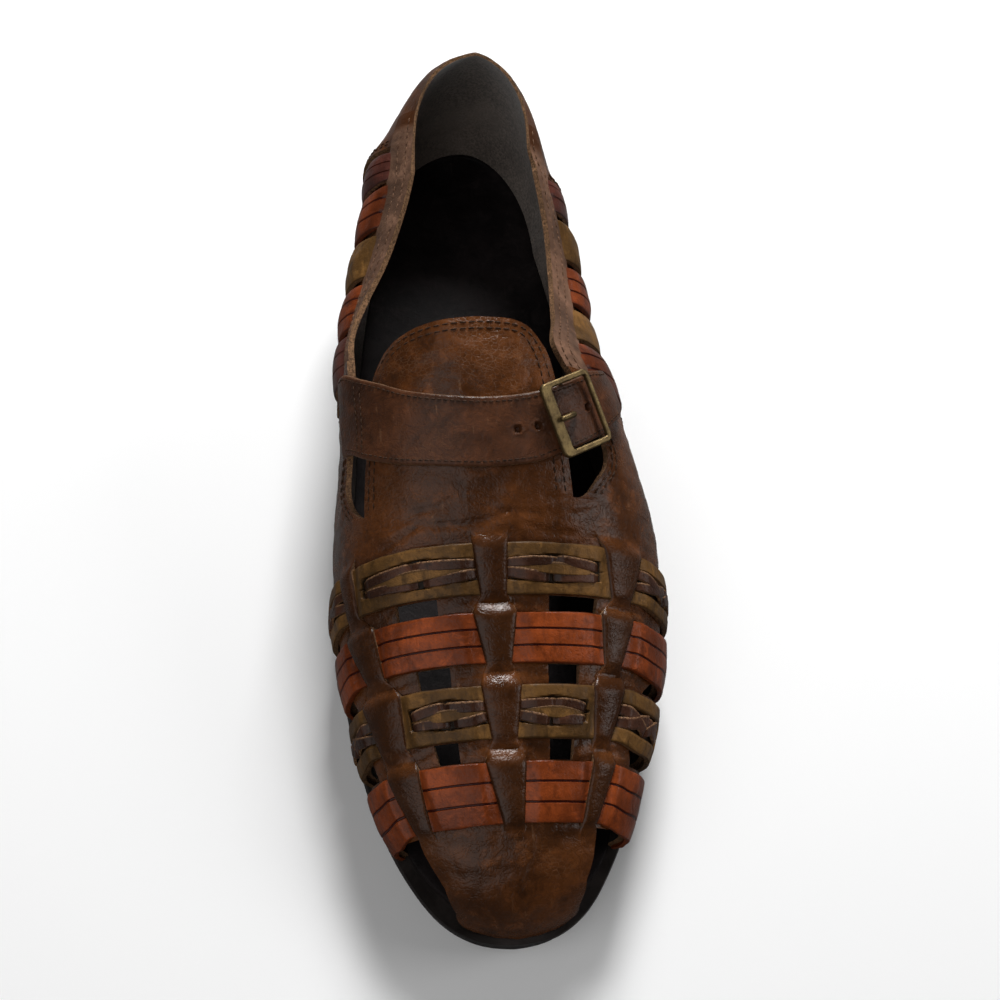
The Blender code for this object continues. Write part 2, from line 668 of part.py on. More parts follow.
def sole_stations(toe, count=22):
    """Stations close together at the round toe, then even, then around the heel."""
    nose = toe + (1.0 - np.cos(np.linspace(0.0, np.pi / 2, 9))) * (-120 - toe)
    body = np.linspace(-120, HEEL_AXIS, count)[1:]
    return np.concatenate([nose, body, HEEL_AXIS + np.linspace(0.0, 90.0, 9)[1:-1], [189.0]])


def loft(name, group, rings, color, roughness):
    """A solid through closed rings of points, one for each station."""
    bm = bmesh.new()
    made = [[bm.verts.new(point) for point in ring] for ring in rings]
    for near, far in zip(made[:-1], made[1:]):
        for k in range(len(near)):
            after = (k + 1) % len(near)
            bm.faces.new((near[k], near[after], far[after], far[k]))
    bm.faces.new(made[0])
    bm.faces.new(made[-1][::-1])
    bmesh.ops.triangulate(bm, faces=[f for f in bm.faces if len(f.verts) > 4])
    bmesh.ops.recalc_face_normals(bm, faces=bm.faces)
    return new_object(name, finish_mesh(name, bm), group, color, roughness)


def sole_ring(s, levels):
    """A section across the sole: levels are (margin, height) pairs from the bottom up."""
    sides = [[(*outline_point(s, side, margin), z) for margin, z in levels]
             for side in ("medial", "lateral")]
    ring = sides[0] + sides[1][::-1]
    return [(x + SHIFT[0], y + SHIFT[1], z) for x, y, z in ring]


def tread(s):
    return max(float(spline(min(s, HEEL_AXIS), TREAD_TABLE["s"], TREAD_TABLE["z"])), 0.0)


def margin_at(s, most):
    """A margin that closes towards the toe, where the outline is narrow."""
    x, _ = outline_point(s, "lateral")
    return min(most, 0.8 * abs(x - 0.5))


def build_sole(group):
    """Outsole, heel and welt, stacked with a hair of air between them."""
    stations = sole_stations(SOLE_TOE + 0.15)
    outsole, welt = [], []
    for s in stations:
        floor = tread(s)
        top = feather(s) - GAP
        seat = top - WELT - GAP
        round_in = margin_at(s, 1.0)
        ledge = margin_at(s, WELT_LEDGE)
        outsole.append(sole_ring(s, ((ledge + round_in, floor), (ledge, floor + 1.2),
                                     (ledge, seat - 2.4), (ledge + round_in / 2, seat - 2.0),
                                     (ledge + round_in / 2, seat))))
        welt.append(sole_ring(s, ((margin_at(s, 0.5), top - WELT), (0.0, top - WELT + 0.7),
                                  (0.0, top - 0.7), (margin_at(s, 0.6), top))))
    loft("outsole", group, outsole, (0.025, 0.02, 0.018), 0.6)
    loft("welt", group, welt, (0.03, 0.02, 0.016), 0.4)
    heel = []
    for s in [HEEL_BREAST + f for f in (0.0, 10.0, 20.0, 30.0)] + list(
            HEEL_AXIS + np.linspace(0.0, 90.0, 10)[:-1]) + [189.0]:
        seat = tread(s) - GAP
        ledge = WELT_LEDGE + 0.2
        heel.append(sole_ring(s, ((ledge + HEEL_TAPER, 0.0), (ledge + HEEL_TAPER - 0.3, 6.0),
                                  (ledge + HEEL_TAPER - 0.9, 6.4), (ledge, seat))))
    loft("heel", group, heel, (0.022, 0.018, 0.016), 0.6)


def build_insole(group):
    """The footbed inside the upper, cupped a little at its edge."""
    rings = []
    stations = sole_stations(TOE_TIP + 3.5)
    for s in stations:
        ring = []
        for side, hand in (("medial", -1.0), ("lateral", 1.0)):
            edge = last_point(s, hand)
            axis = np.array([section(min(s, HEEL_AXIS), "ridge") + SHIFT[0],
                             min(s, HEEL_AXIS) + SHIFT[1], edge[2]])
            away = edge - axis
            reach = np.linalg.norm(away)
            margin = 1.0 + INSOLE_NOSE * np.clip((TOE_TIP + 22.0 - s) / 16.0, 0.0, 1.0)
            inner = axis + away * (max(reach - margin, 0.3) / reach)
            crown = axis + away * (max(reach - margin - 1.0, 0.2) / reach)
            side_points = [inner, inner + (0, 0, INSOLE - 0.8), crown + (0, 0, INSOLE)]
            ring += side_points if hand < 0 else side_points[::-1]
        rings.append([tuple(point) for point in ring])
    loft("insole", group, rings, (0.035, 0.025, 0.022), 0.5)


def main():
    for item in list(bpy.data.objects):
        bpy.data.objects.remove(item, do_unlink=True)
    group = bpy.data.collections.new("fisherman_sandal")
    helpers = bpy.data.collections.new("cutters")
    for collection in (group, helpers):
        bpy.context.scene.collection.children.link(collection)
    build_sole(group)
    build_insole(group)
    build_upper(group)
    strap = build_strap(group)
    build_tab(group)
    axes = build_buckle(group, helpers)
    build_prong(group, axes)
    cut_strap_hole(strap, axes, helpers)


main()
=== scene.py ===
"""Fisherman sandal, left shoe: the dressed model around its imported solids.

Tables and lengths are in millimetres and become metres when a mesh is made.
Places on the last are given by a station s along the shoe (past the heel axis
an angle in degrees around the heel) and a girth t from -1 at the medial
feather line over the ridge at 0 to +1 at the lateral feather line.
"""

import bmesh
import bpy
import numpy as np
from mathutils import Matrix, Vector


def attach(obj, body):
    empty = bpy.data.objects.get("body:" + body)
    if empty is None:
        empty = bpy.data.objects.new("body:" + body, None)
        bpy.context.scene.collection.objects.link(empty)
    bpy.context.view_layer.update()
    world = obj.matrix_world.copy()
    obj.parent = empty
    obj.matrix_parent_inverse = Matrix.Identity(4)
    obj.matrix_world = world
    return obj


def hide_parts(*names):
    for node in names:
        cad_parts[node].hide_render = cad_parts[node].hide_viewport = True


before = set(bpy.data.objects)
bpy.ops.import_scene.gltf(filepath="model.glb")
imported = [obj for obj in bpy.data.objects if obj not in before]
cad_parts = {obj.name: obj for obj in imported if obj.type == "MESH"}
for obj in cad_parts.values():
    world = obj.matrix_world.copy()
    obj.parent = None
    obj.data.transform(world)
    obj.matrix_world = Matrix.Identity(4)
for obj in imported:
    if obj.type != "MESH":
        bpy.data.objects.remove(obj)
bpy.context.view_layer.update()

bl_info = {
    "name": "Fisherman sandal",
    "version": (1, 0, 0),
    "blender": (4, 5, 0),
    "location": "View3D > Sidebar > Sandal",
    "description": "Makes the leather, straps, buckle and sole of a fisherman sandal",
    "category": "Add Mesh",
}

MM = 0.001
BODY = "root"
SHIFT = (-2.1, -0.7)
SIDES = {"medial": -1.0, "lateral": 1.0}     # and the sign of x on each

# ---------------------------------------------------------------- the last
TOE_TIP = -147.0
HEEL_AXIS = 100.0
HEEL_BACK = 50.0
HEEL_ROUND = 1.9
HEEL_END = HEEL_AXIS + 90.0
LOW = 0.2

LAST_COLUMNS = ("s", "medial", "lateral", "ridge", "feather", "widest", "top", "full", "inset")
LAST = (
    (-147, 0.5, 0.5, 0.5, 17.6, 17.6, 17.6, 2.0, 0.0),
    (-144, -13.0, 14.0, 0.0, 17.0, 20.0, 27.5, 2.0, 0.2),
    (-137, -22.0, 23.0, -1.0, 16.0, 22.0, 34.5, 2.0, 1.0),
    (-124, -32.0, 33.0, -2.0, 14.0, 23.0, 41.0, 2.1, 2.2),
    (-105, -40.5, 40.5, -3.0, 12.5, 24.0, 48.0, 2.2, 3.5),
    (-80, -46.0, 49.0, -4.0, 11.5, 25.0, 55.0, 2.2, 3.5),
    (-50, -50.5, 54.5, -5.0, 11.5, 27.0, 64.0, 2.2, 4.0),
    (-20, -50.5, 54.0, -5.5, 13.5, 31.0, 77.0, 2.2, 4.0),
    (10, -47.5, 46.5, -6.5, 18.0, 36.0, 91.0, 2.2, 4.0),
    (45, -45.0, 37.5, -6.0, 24.0, 43.0, 100.0, 2.0, 4.0),
    (75, -40.8, 34.2, -2.0, 28.0, 47.0, 102.0, 2.1, 4.0),
    (100, -35.3, 29.3, 1.5, 30.5, 50.0, 112.0, 2.2, 4.0),
)
COLLAR_COLUMNS = ("s", "medial", "lateral", "lean_medial", "lean_lateral")
COLLAR = (
    (-22.5, 0.478, 0.262, 0.0, 0.0),
    (-17, 0.550, 0.310, 0.0, 0.0),
    (-10, 0.605, 0.373, 0.0, 0.0),
    (0, 0.615, 0.380, 0.0, 0.0),
    (12, 0.550, 0.330, -1.5, 1.0),
    (26, 0.523, 0.315, -3.5, 4.0),
    (40, 0.537, 0.440, -3.6, 7.2),
    (52, 0.542, 0.500, 0.0, 7.8),
    (66, 0.544, 0.540, 5.0, 8.0),
    (85, 0.553, 0.555, 9.0, 7.0),
    (104, 0.558, 0.559, 10.2, 6.8),
    (130, 0.522, 0.526, 7.8, 7.2),
    (150, 0.475, 0.490, 3.5, 4.6),
    (170, 0.425, 0.445, -1.0, 0.8),
    (190, 0.403, 0.403, -3.0, -3.0),
)
BOTTOM_LIFT = 0.5
ROWS = ((-119.2, -101.2), (-95.0, -78.6), (-72.6, -56.8), (-51.9, -36.2))
STEP = 0.9
QUARTER_STRAPS = {
    "medial": ((29, 44), (48, 63), (67, 81.5), (85.5, 100.5), (106, 124)),
    "lateral": ((16.5, 31.5), (35.5, 50.5), (55, 69.5), (73.5, 87.5), (91.5, 107)),
}
COUNTER_FRONT = {"medial": 129.0, "lateral": 111.5}
WINDOW_FRONT = -143.4
SLOT_START = -22.5
TONGUE_TIP = 29.4
TONGUE_SIDE = 10.0

# seams of the forefoot as girths: the centre strip's edge, the openings between two
# rows, the panels' outer edge and the side strip's outer edge
SEAM_COLUMNS = ("s", "centre_medial", "in_medial", "out_medial", "panel_medial", "strip_medial",
                "centre_lateral", "in_lateral", "out_lateral", "panel_lateral", "strip_lateral")
SEAMS = (
    (-147, 0.04, 0.16, 0.27, 0.38, 0.94, 0.05, 0.14, 0.24, 0.32, 0.94),
    (-143.4, 0.04, 0.16, 0.27, 0.38, 0.91, 0.05, 0.14, 0.24, 0.32, 0.89),
    (-140, 0.04, 0.16, 0.27, 0.38, 0.62, 0.05, 0.14, 0.24, 0.32, 0.61),
    (-134, 0.035, 0.16, 0.26, 0.37, 0.51, 0.05, 0.14, 0.23, 0.31, 0.47),
    (-119.2, 0.029, 0.16, 0.25, 0.370, 0.485, 0.052, 0.14, 0.22, 0.300, 0.385),
    (-101.2, 0.066, 0.16, 0.25, 0.343, 0.530, 0.060, 0.14, 0.225, 0.309, 0.425),
    (-95, 0.036, 0.158, 0.26, 0.378, 0.534, 0.038, 0.137, 0.225, 0.295, 0.380),
    (-78.6, 0.055, 0.155, 0.28, 0.363, 0.590, 0.056, 0.133, 0.23, 0.279, 0.416),
    (-72.6, 0.031, 0.153, 0.285, 0.422, 0.534, 0.035, 0.133, 0.23, 0.313, 0.390),
    (-56.8, 0.058, 0.172, 0.331, 0.435, 0.608, 0.053, 0.138, 0.282, 0.298, 0.433),
    (-51.9, 0.031, 0.173, 0.332, 0.504, 0.586, 0.033, 0.138, 0.290, 0.336, 0.423),
    (-36.2, 0.049, 0.17, 0.35, 0.530, 0.62, 0.038, 0.14, 0.27, 0.312, 0.479),
    (-30, 0.05, 0.17, 0.34, 0.500, 0.61, 0.04, 0.12, 0.22, 0.272, 0.49),
    (-22.5, 0.06, 0.17, 0.33, 0.455, 0.60, 0.045, 0.10, 0.17, 0.222, 0.50),
)

# heights of the leather's outer face above the last
VAMP_HIGH = 2.3
WEB_HIGH = 2.0
BED_HIGH = 1.7                # under the straps
STRIP_HIGH = 4.0              # where a strip passes over a strap
MOST_HIGH = 6.0
BAND_HIGH = 2.3
HEEL_RIM = 1.4                # the topline thins around the heel
EDGE_THIN = 0.35              # skived off at an open edge

# ---------------------------------------------------------------- the sole
SOLE_TOE = -151.0
SOLE_BACK = 50.5
OUTLINE_COLUMNS = ("s", "medial", "lateral")
OUTLINE = (
    (-151, 0.5, 0.5),
    (-150, -9.5, 10.0),
    (-147, -17.0, 17.2),
    (-141, -24.5, 24.5),
    (-130, -32.0, 32.3),
    (-115, -39.0, 40.0),
    (-95, -45.0, 46.5),
    (-70, -49.8, 52.5),
    (-45, -52.0, 54.5),
    (-20, -50.0, 53.0),
    (10, -43.0, 47.5),
    (40, -38.5, 39.5),
    (72, -37.0, 33.5),
    (100, -36.5, 30.8),
)
TREAD_COLUMNS = ("s", "z")
TREAD = (
    (-151, 10.0), (-140, 7.0), (-120, 3.4), (-100, 0.9), (-84, -0.2), (-60, -0.8), (-34, -0.5),
    (-20, 0.8), (0, 4.4), (25, 10.5), (50, 16.0), (75, 19.5), (100, 21.0),
)
GAP = 0.3
WELT = 3.2
INSOLE = 2.6
INSOLE_NOSE = 2.2
HEEL_BREAST = 60.0

# ---------------------------------------------------------------- strap and buckle
STRAP_COLUMNS = ("t", "rear", "front", "rise")
STRAP = (
    (-0.570, 25.4, 0.0, 3.2), (-0.520, 24.6, -1.5, 3.2), (-0.450, 20.0, -5.0, 3.1),
    (-0.360, 14.8, -8.6, 2.8), (-0.270, 10.2, -11.3, 2.7), (-0.180, 7.4, -13.0, 2.7),
    (-0.090, 5.7, -14.2, 2.7), (0.000, 4.9, -14.8, 2.7), (0.060, 5.2, -14.3, 3.0),
    (0.120, 6.2, -13.2, 4.3), (0.170, 7.7, -11.0, 5.3), (0.220, 9.7, -8.8, 5.5),
    (0.270, 12.2, -6.3, 5.3), (0.330, 15.4, -3.0, 4.9), (0.400, 18.0, 2.0, 4.7),
    (0.460, 20.0, 6.0, 4.0), (0.500, 18.2, 10.6, 3.6),
)
STRAP_THICK = 2.0
STRAP_WIDE = 21.0
HOLES = (0.079, 0.131, 0.285)     # girths of the punched holes
TAB_GIRTH = (0.27, 0.42)
TAB_THICK = 1.3
BUCKLE_GIRTH = 0.23
BUCKLE_LONG = 24.6
BUCKLE_WIDE = 19.4
BUCKLE_THICK = 1.7
BUCKLE_RISE = 0.5
BUCKLE_CORNER = 2.4
BUCKLE_BARS = {"side": 2.0, "front": 4.0, "rear": 1.6, "middle": 1.6}
PRONG = 1.0


def table(columns, rows):
    """A table's columns by name."""
    return {name: np.array([row[k] for row in rows], float) for k, name in enumerate(columns)}


def spline(x, keys, values):
    """Smooth curve through a table's values."""
    step = np.diff(keys)
    slope = np.diff(values) / step
    inner = (slope[:-1] * step[1:] + slope[1:] * step[:-1]) / (step[1:] + step[:-1])
    tangent = np.concatenate([[slope[0]], inner, [slope[-1]]])
    i = np.clip(np.searchsorted(keys, x) - 1, 0, len(keys) - 2)
    u = np.clip((x - keys[i]) / step[i], 0.0, 1.0)
    rise = values[i + 1] - values[i]
    bend = tangent[i] * u * (1 - u) ** 2 - tangent[i + 1] * u ** 2 * (1 - u)
    return values[i] + rise * (3 * u ** 2 - 2 * u ** 3) + step[i] * bend


LAST_TABLE = table(LAST_COLUMNS, LAST)
COLLAR_TABLE = table(COLLAR_COLUMNS, COLLAR)
SEAM_TABLE = table(SEAM_COLUMNS, SEAMS)
OUTLINE_TABLE = table(OUTLINE_COLUMNS, OUTLINE)
TREAD_TABLE = table(TREAD_COLUMNS, TREAD)
STRAP_TABLE = table(STRAP_COLUMNS, STRAP)


def ease(x, low, high):
    """0 below low, 1 above high, smooth in between."""
    u = np.clip((x - low) / (high - low), 0.0, 1.0)
    return u * u * (3.0 - 2.0 * u)


def from_toe(s, toe):
    return np.sqrt(np.clip(s - toe, 0.0, None))


def section(s, name):
    return spline(from_toe(s, TOE_TIP), from_toe(LAST_TABLE["s"], TOE_TIP), LAST_TABLE[name])


def collar(s, name):
    return spline(s, COLLAR_TABLE["s"], COLLAR_TABLE[name])


def seam(s, name):
    return np.interp(s, SEAM_TABLE["s"], SEAM_TABLE[name])


def round_heel(half, back, turn):
    """Plan radius around the heel axis, from half at the side to back at the rear."""
    side = (np.cos(turn) / half) ** HEEL_ROUND
    rear = (np.sin(turn) / back) ** HEEL_ROUND
    return (side + rear) ** (-1.0 / HEEL_ROUND)


def last_point(s, t, lean=0.0):
    """Points on the last, leaned in towards its middle by lean at the collar."""
    s, t, lean = np.broadcast_arrays(np.asarray(s, float), np.asarray(t, float), lean)
    y = np.minimum(s, HEEL_AXIS)
    turn = np.radians(np.clip(s - HEEL_AXIS, 0.0, 90.0))
    medial = t < 0
    hand = np.where(medial, -1.0, 1.0)
    full, ridge, feather = section(y, "full"), section(y, "ridge"), section(y, "feather")
    widest, top = section(y, "widest"), section(y, "top")
    outer = np.where(medial, section(y, "medial"), section(y, "lateral"))
    half = np.maximum(hand * (outer - ridge), 1e-4)
    half = np.where(turn > 0, round_heel(half, HEEL_BACK, np.maximum(turn, 1e-9)), half)
    up = 1.0 - np.abs(t)
    bow = np.clip((up - LOW) / (1.0 - LOW), 0.0, 1.0) * np.pi / 2
    share = np.sin(bow) ** (2 / full)
    edge = np.where(medial, collar(s, "medial"), collar(s, "lateral"))
    edge_bow = (1.0 - edge - LOW) / (1.0 - LOW) * np.pi / 2
    high = half * np.cos(bow) ** (2 / full)
    high -= lean * np.minimum(share / np.sin(edge_bow) ** (2 / full), 1.0) ** 2
    drop = (LOW - up) / LOW
    low = half - np.minimum(section(y, "inset"), 0.5 * half) * drop ** 2
    above = up >= LOW
    reach = np.where(above, high, low)
    z = np.where(above, widest + (top - widest) * share, widest - (widest - feather) * drop)
    return np.stack([ridge + hand * reach * np.cos(turn) + SHIFT[0],
                     y + reach * np.sin(turn) + SHIFT[1], z], -1)


def collar_lean(s, t):
    """How far the collar leans in on the side of t."""
    held = np.maximum(s, SLOT_START)
    return np.where(t < 0, collar(held, "lean_medial"), collar(held, "lean_lateral"))


def wall_point(s, t):
    """Points on the inner side of the upper, with the collar's lean."""
    s, t = np.broadcast_arrays(np.asarray(s, float), np.asarray(t, float))
    return last_point(s, t, np.where(s > SLOT_START, collar_lean(s, t), 0.0))


def down_wall(s, side, share):
    """Girths from the topline, at share 0, down to the welt, at share 1."""
    top = collar(s, side)
    return SIDES[side] * (top + (1.0 - top) * share)


def outward(point, s, t):
    """Outward normals of the surface that point(s, t) describes."""
    along = point(s + 0.5, t) - point(s - 0.5, t)
    across = point(s, t + 0.004) - point(s, t - 0.004)
    out = np.cross(across, along)
    return out / np.linalg.norm(out, axis=-1, keepdims=True)


def clear_welt(s, z, wall):
    """Heights with the wall's lower edge raised off the welt."""
    y = np.minimum(s, HEEL_AXIS)
    low, high = section(y, "feather"), section(y, "widest")
    lift = np.minimum(wall * BOTTOM_LIFT, (high - low) / 2)
    squeezed = high - (high - z) * (1.0 - lift / np.maximum(high - low, 1e-6))
    return np.where(z >= high, z, squeezed)


def over_last(s, t, height, point=wall_point):
    """Points at a height above the surface, clear of the welt."""
    s, t, height = np.broadcast_arrays(np.asarray(s, float), np.asarray(t, float),
                                       np.asarray(height, float))
    base = point(s, t)
    base[..., 2] = clear_welt(s, base[..., 2], height)
    return base + outward(point, s, t) * height[..., None]


def ripple(place, length, seed):
    """Soft irregular waves of about unit height over points in millimetres."""
    draw = np.random.default_rng(seed)
    total = np.zeros(place.shape[:-1])
    for _ in range(9):
        way = draw.normal(size=3)
        way *= 2 * np.pi / (length * draw.uniform(0.7, 1.6) * np.linalg.norm(way))
        total += np.sin(place @ way + draw.uniform(0, 2 * np.pi) + 0.8 * np.sin(place @ way[::-1]))
    return total / 3.0


# ---------------------------------------------------------------- meshes
def grid_mesh(name, points, values=None, keep=None, paint=None, merge=0.002, flip=False):
    """A mesh from a grid of points; values go by point, keep and paint by cell."""
    rows, columns = points.shape[:2]
    bm = bmesh.new()
    bmesh.ops.create_grid(bm, x_segments=rows - 1, y_segments=columns - 1, size=0.5)
    mesh = bpy.data.meshes.new(name)
    bm.to_mesh(mesh)
    bm.free()
    flat = np.empty(len(mesh.vertices) * 3)
    mesh.vertices.foreach_get("co", flat)
    flat = flat.reshape(-1, 3)
    i = np.rint((flat[:, 0] + 0.5) * (rows - 1)).astype(int)
    j = np.rint((flat[:, 1] + 0.5) * (columns - 1)).astype(int)
    mesh.vertices.foreach_set("co", (points[i, j] * MM).ravel())
    for label, data in (values or {}).items():
        layer = mesh.attributes.new(label, "FLOAT", "POINT")
        layer.data.foreach_set("value", np.asarray(data, np.float32)[i, j])
    corners = np.empty(len(mesh.loops), int)
    mesh.loops.foreach_get("vertex_index", corners)
    corners = corners.reshape(-1, 4)
    cell = i[corners].min(1), j[corners].min(1)
    if paint is not None:
        mesh.polygons.foreach_set("material_index", paint[cell].astype(int))
    bm = bmesh.new()
    bm.from_mesh(mesh)
    if keep is not None:
        bm.faces.ensure_lookup_table()
        cut = [bm.faces[n] for n in np.flatnonzero(~keep[cell])]
        bmesh.ops.delete(bm, geom=cut, context="FACES")
    if merge:
        bmesh.ops.remove_doubles(bm, verts=bm.verts, dist=merge * MM)
        bmesh.ops.dissolve_degenerate(bm, edges=bm.edges, dist=merge * MM / 2)
    if flip:
        bmesh.ops.reverse_faces(bm, faces=bm.faces)
    bm.to_mesh(mesh)
    bm.free()
    return mesh


def closed(mesh, angle=0.8):
    """Fills the open ends of a mesh and turns its faces outwards."""
    bm = bmesh.new()
    bm.from_mesh(mesh)
    bmesh.ops.holes_fill(bm, edges=[e for e in bm.edges if e.is_boundary], sides=0)
    bmesh.ops.recalc_face_normals(bm, faces=bm.faces)
    bm.to_mesh(mesh)
    bm.free()
    smooth(mesh, angle)
    return mesh


def joined(name, meshes, merge=0.01):
    """One mesh from several, their common points merged."""
    bm = bmesh.new()
    for mesh in meshes:
        bm.from_mesh(mesh)
    bmesh.ops.remove_doubles(bm, verts=bm.verts, dist=merge * MM)
    whole = bpy.data.meshes.new(name)
    bm.to_mesh(whole)
    bm.free()
    return whole


def new_piece(name, mesh, materials, replaces=()):
    """An object on the shoe's body, with its finishes."""
    item = bpy.data.objects.new(name, mesh)
    item.name = name
    bpy.context.scene.collection.objects.link(item)
    for finish in materials:
        mesh.materials.append(finish)
    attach(item, BODY)
    if replaces:
        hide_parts(*replaces)
    return item


def smooth(mesh, angle=0.8):
    mesh.shade_smooth()
    mesh.set_sharp_from_angle(angle=angle)


def settle(item, angle=0.8):
    """Applies the modifiers and marks the sharp edges."""
    graph = bpy.context.evaluated_depsgraph_get()
    made = bpy.data.meshes.new_from_object(item.evaluated_get(graph),
                                           preserve_all_data_layers=True, depsgraph=graph)
    item.modifiers.clear()
    item.data = made
    smooth(made, angle)
    return item


def solidify(item, most, inner, rim):
    """Thickens a leather sheet outwards by each point's own height."""
    mesh = item.data
    weights = np.empty(len(mesh.vertices), np.float32)
    mesh.attributes["thickness"].data.foreach_get("value", weights)
    layer = item.vertex_groups.new(name="thickness")
    for n, weight in enumerate(weights):
        layer.add([n], float(weight), "REPLACE")
    wall = item.modifiers.new("wall", "SOLIDIFY")
    wall.thickness = most * MM
    wall.offset = 1.0
    wall.vertex_group = layer.name
    wall.material_offset = inner
    wall.material_offset_rim = rim
    return settle(item)


def mm(name):
    """A size from the sidebar, in millimetres."""
    return getattr(bpy.context.scene.sandal_sizes, name) / MM


def spread(breaks, pitch):
    """Values through all the breaks, about a pitch apart."""
    parts = [np.linspace(a, b, max(int(round(abs(b - a) / pitch)), 1) + 1)[:-1]
             for a, b in zip(breaks[:-1], breaks[1:])]
    return np.concatenate(parts + [[breaks[-1]]])


def strap_profile(width, thick, radius, pitch=1.2, grooves=(), depth=0.45):
    """Places across a strap, heights and how deep in a groove, as a closed loop."""
    r = radius
    left = [(0.0, 0.0), (0.0, thick - r), (0.12 * r, thick - 0.5 * r), (0.45 * r, thick - 0.12 * r),
            (r, thick)]
    breaks = [r]
    for g in grooves:
        breaks += [g - 0.45, g - 0.16, g + 0.16, g + 0.45]
    breaks.append(width - r)
    inside = spread(breaks, pitch)[1:-1]
    dips = np.zeros(len(inside))
    for g in grooves:
        dips = np.maximum(dips, (np.abs(inside - g) < 0.2).astype(float))
    right = [(width - a, h) for a, h in left[::-1]]
    across = [a for a, _ in left] + list(inside) + [a for a, _ in right]
    high = [h for _, h in left] + list(thick - depth * dips) + [h for _, h in right]
    dip = [0.0] * len(left) + list(dips) + [0.0] * len(right)
    edge = [1.0, 1.0, 0.6, 0.15, 0.0] + [0.0] * len(inside) + [0.0, 0.15, 0.6, 1.0, 1.0]
    under = np.linspace(width, 0.0, 6)[1:]
    across += list(under)
    high += [0.0] * len(under)
    dip += [0.0] * len(under)
    edge += [1.0] * len(under)
    return tuple(np.array(a) for a in (across, high, dip, edge))


def capsule(bm, centre, along, out, length, wide, high):
    """One stitch: a slim pillow of thread lying on the leather."""
    side = np.cross(out, along)
    side /= np.linalg.norm(side)
    out = np.cross(along, side)
    axes = np.stack([side * wide / 2, out * high / 2, along * length / 2], 1) * MM
    place = Matrix([[*axes[k], centre[k] * MM] for k in range(3)] + [[0, 0, 0, 1]])
    bmesh.ops.create_uvsphere(bm, u_segments=6, v_segments=5, radius=1.0, matrix=place)


def stitch_line(bm, place, out, length, gap, wide, high, seed):
    """Stitches end to end along a line of places with their outward directions."""
    run = np.concatenate([[0.0], np.cumsum(np.linalg.norm(np.diff(place, axis=0), axis=1))])
    draw = np.random.default_rng(seed)
    count = max(int(run[-1] / (length + gap)), 1)
    pitch = run[-1] / count

    def at(distance, data):
        return np.array([np.interp(distance, run, data[:, k]) for k in range(3)])

    for n in range(count):
        middle = (n + 0.5) * pitch + draw.normal() * 0.08
        half = (pitch - gap) / 2
        along = at(middle + half, place) - at(middle - half, place)
        reach = np.linalg.norm(along)
        if reach < length * 0.4:
            continue
        normal = at(middle, out)
        slant = np.cross(normal, along) * draw.normal() * 0.04
        along = along / reach + slant / reach
        capsule(bm, at(middle, place) + normal * 0.05, along / np.linalg.norm(along),
                normal / np.linalg.norm(normal), reach * 1.02, wide, high)


def stitch_piece(name, lines, finish, length):
    """One object with the stitches of several lines."""
    bm = bmesh.new()
    for seed, (place, out) in enumerate(lines):
        stitch_line(bm, place, out, length, length / 3, mm("thread_wide"), mm("thread_high"),
                    seed + 3)
    mesh = bpy.data.meshes.new(name)
    bm.to_mesh(mesh)
    bm.free()
    smooth(mesh, 3.0)
    return new_piece(name, mesh, (finish,))


def row_window(s, rise=4.4, ahead=3.8, inner=2.0):
    """1 over the woven rows, 0 between them."""
    level = np.zeros(np.shape(s))
    for start, end in ROWS:
        over = ease(s, start - ahead, start + inner) * (1.0 - ease(s, end - inner, end + rise))
        level = np.maximum(level, over)
    return level


def hump(s):
    """How much fuller a strip is towards the rear of each row it crosses."""
    full = np.zeros(np.shape(s))
    for start, end in ROWS:
        share = np.clip((s - start) / (end - start), 0.0, 1.2)
        full = np.where((s > start - 3.0) & (s < end + 3.4), 0.55 * share ** 1.5 - 0.15, full)
    return full


# ---------------------------------------------------------------- the vamp
FORE_STEPS = (
    (0.25, 0.5, 0.72, 0.88, 0.96, 1.0), 1, 8, 9, 8, 1,
    (0.04, 0.12, 0.28, 0.45, 0.6, 0.75, 0.88, 0.96, 1.0), 1, 5, 26,
)
WALL_RUN = 0.0014             # girth taken by a strip's cut edge
HALF_GIRTH = {"medial": 78.0, "lateral": 74.0}
CENTRE, IN, OUT, PANEL, PANEL_TOP, STRIP, STRIP_FOOT, SIDE = 1, 3, 4, 5, 6, 7, 8, 9


def step_shares():
    """For each column of the forefoot's pattern: its key and how far it is past it."""
    places = [(0, 0.0)]
    for key, steps in enumerate(FORE_STEPS):
        shares = np.arange(1, steps + 1) / steps if isinstance(steps, int) else steps
        places += [(key, share) for share in shares]
    return places


def fore_keys(s, side):
    """Girths of the forefoot's key seams on one side."""
    strip = seam(s, "strip_" + side)
    panel = seam(s, "panel_" + side)
    apart = ease(s, -30.0, SLOT_START) * (collar(SLOT_START, side) - panel)
    side_gap = strip + (1.0 - strip) * np.interp(s, (-78.0, -72.0), (0.2, 0.4))
    centre = seam(s, "centre_" + side)
    return np.stack([np.zeros(len(s)), centre, centre + WALL_RUN, seam(s, "in_" + side),
                     seam(s, "out_" + side), panel, panel + WALL_RUN + apart, strip,
                     strip + WALL_RUN, side_gap, np.ones(len(s))], 1)


def column_of(key):
    """Number of the column that lies on a key seam."""
    return [n for n, (k, share) in enumerate(COLUMNS) if k == key - 1 and share == 1.0][0]


COLUMNS = step_shares()
KEY_COLUMN = {key: column_of(key) for key in range(1, 11)}


def fore_girths(s, side):
    keys = fore_keys(s, side)
    return np.stack([keys[:, k] + (keys[:, k + 1] - keys[:, k]) * share
                     for k, share in COLUMNS], 1)


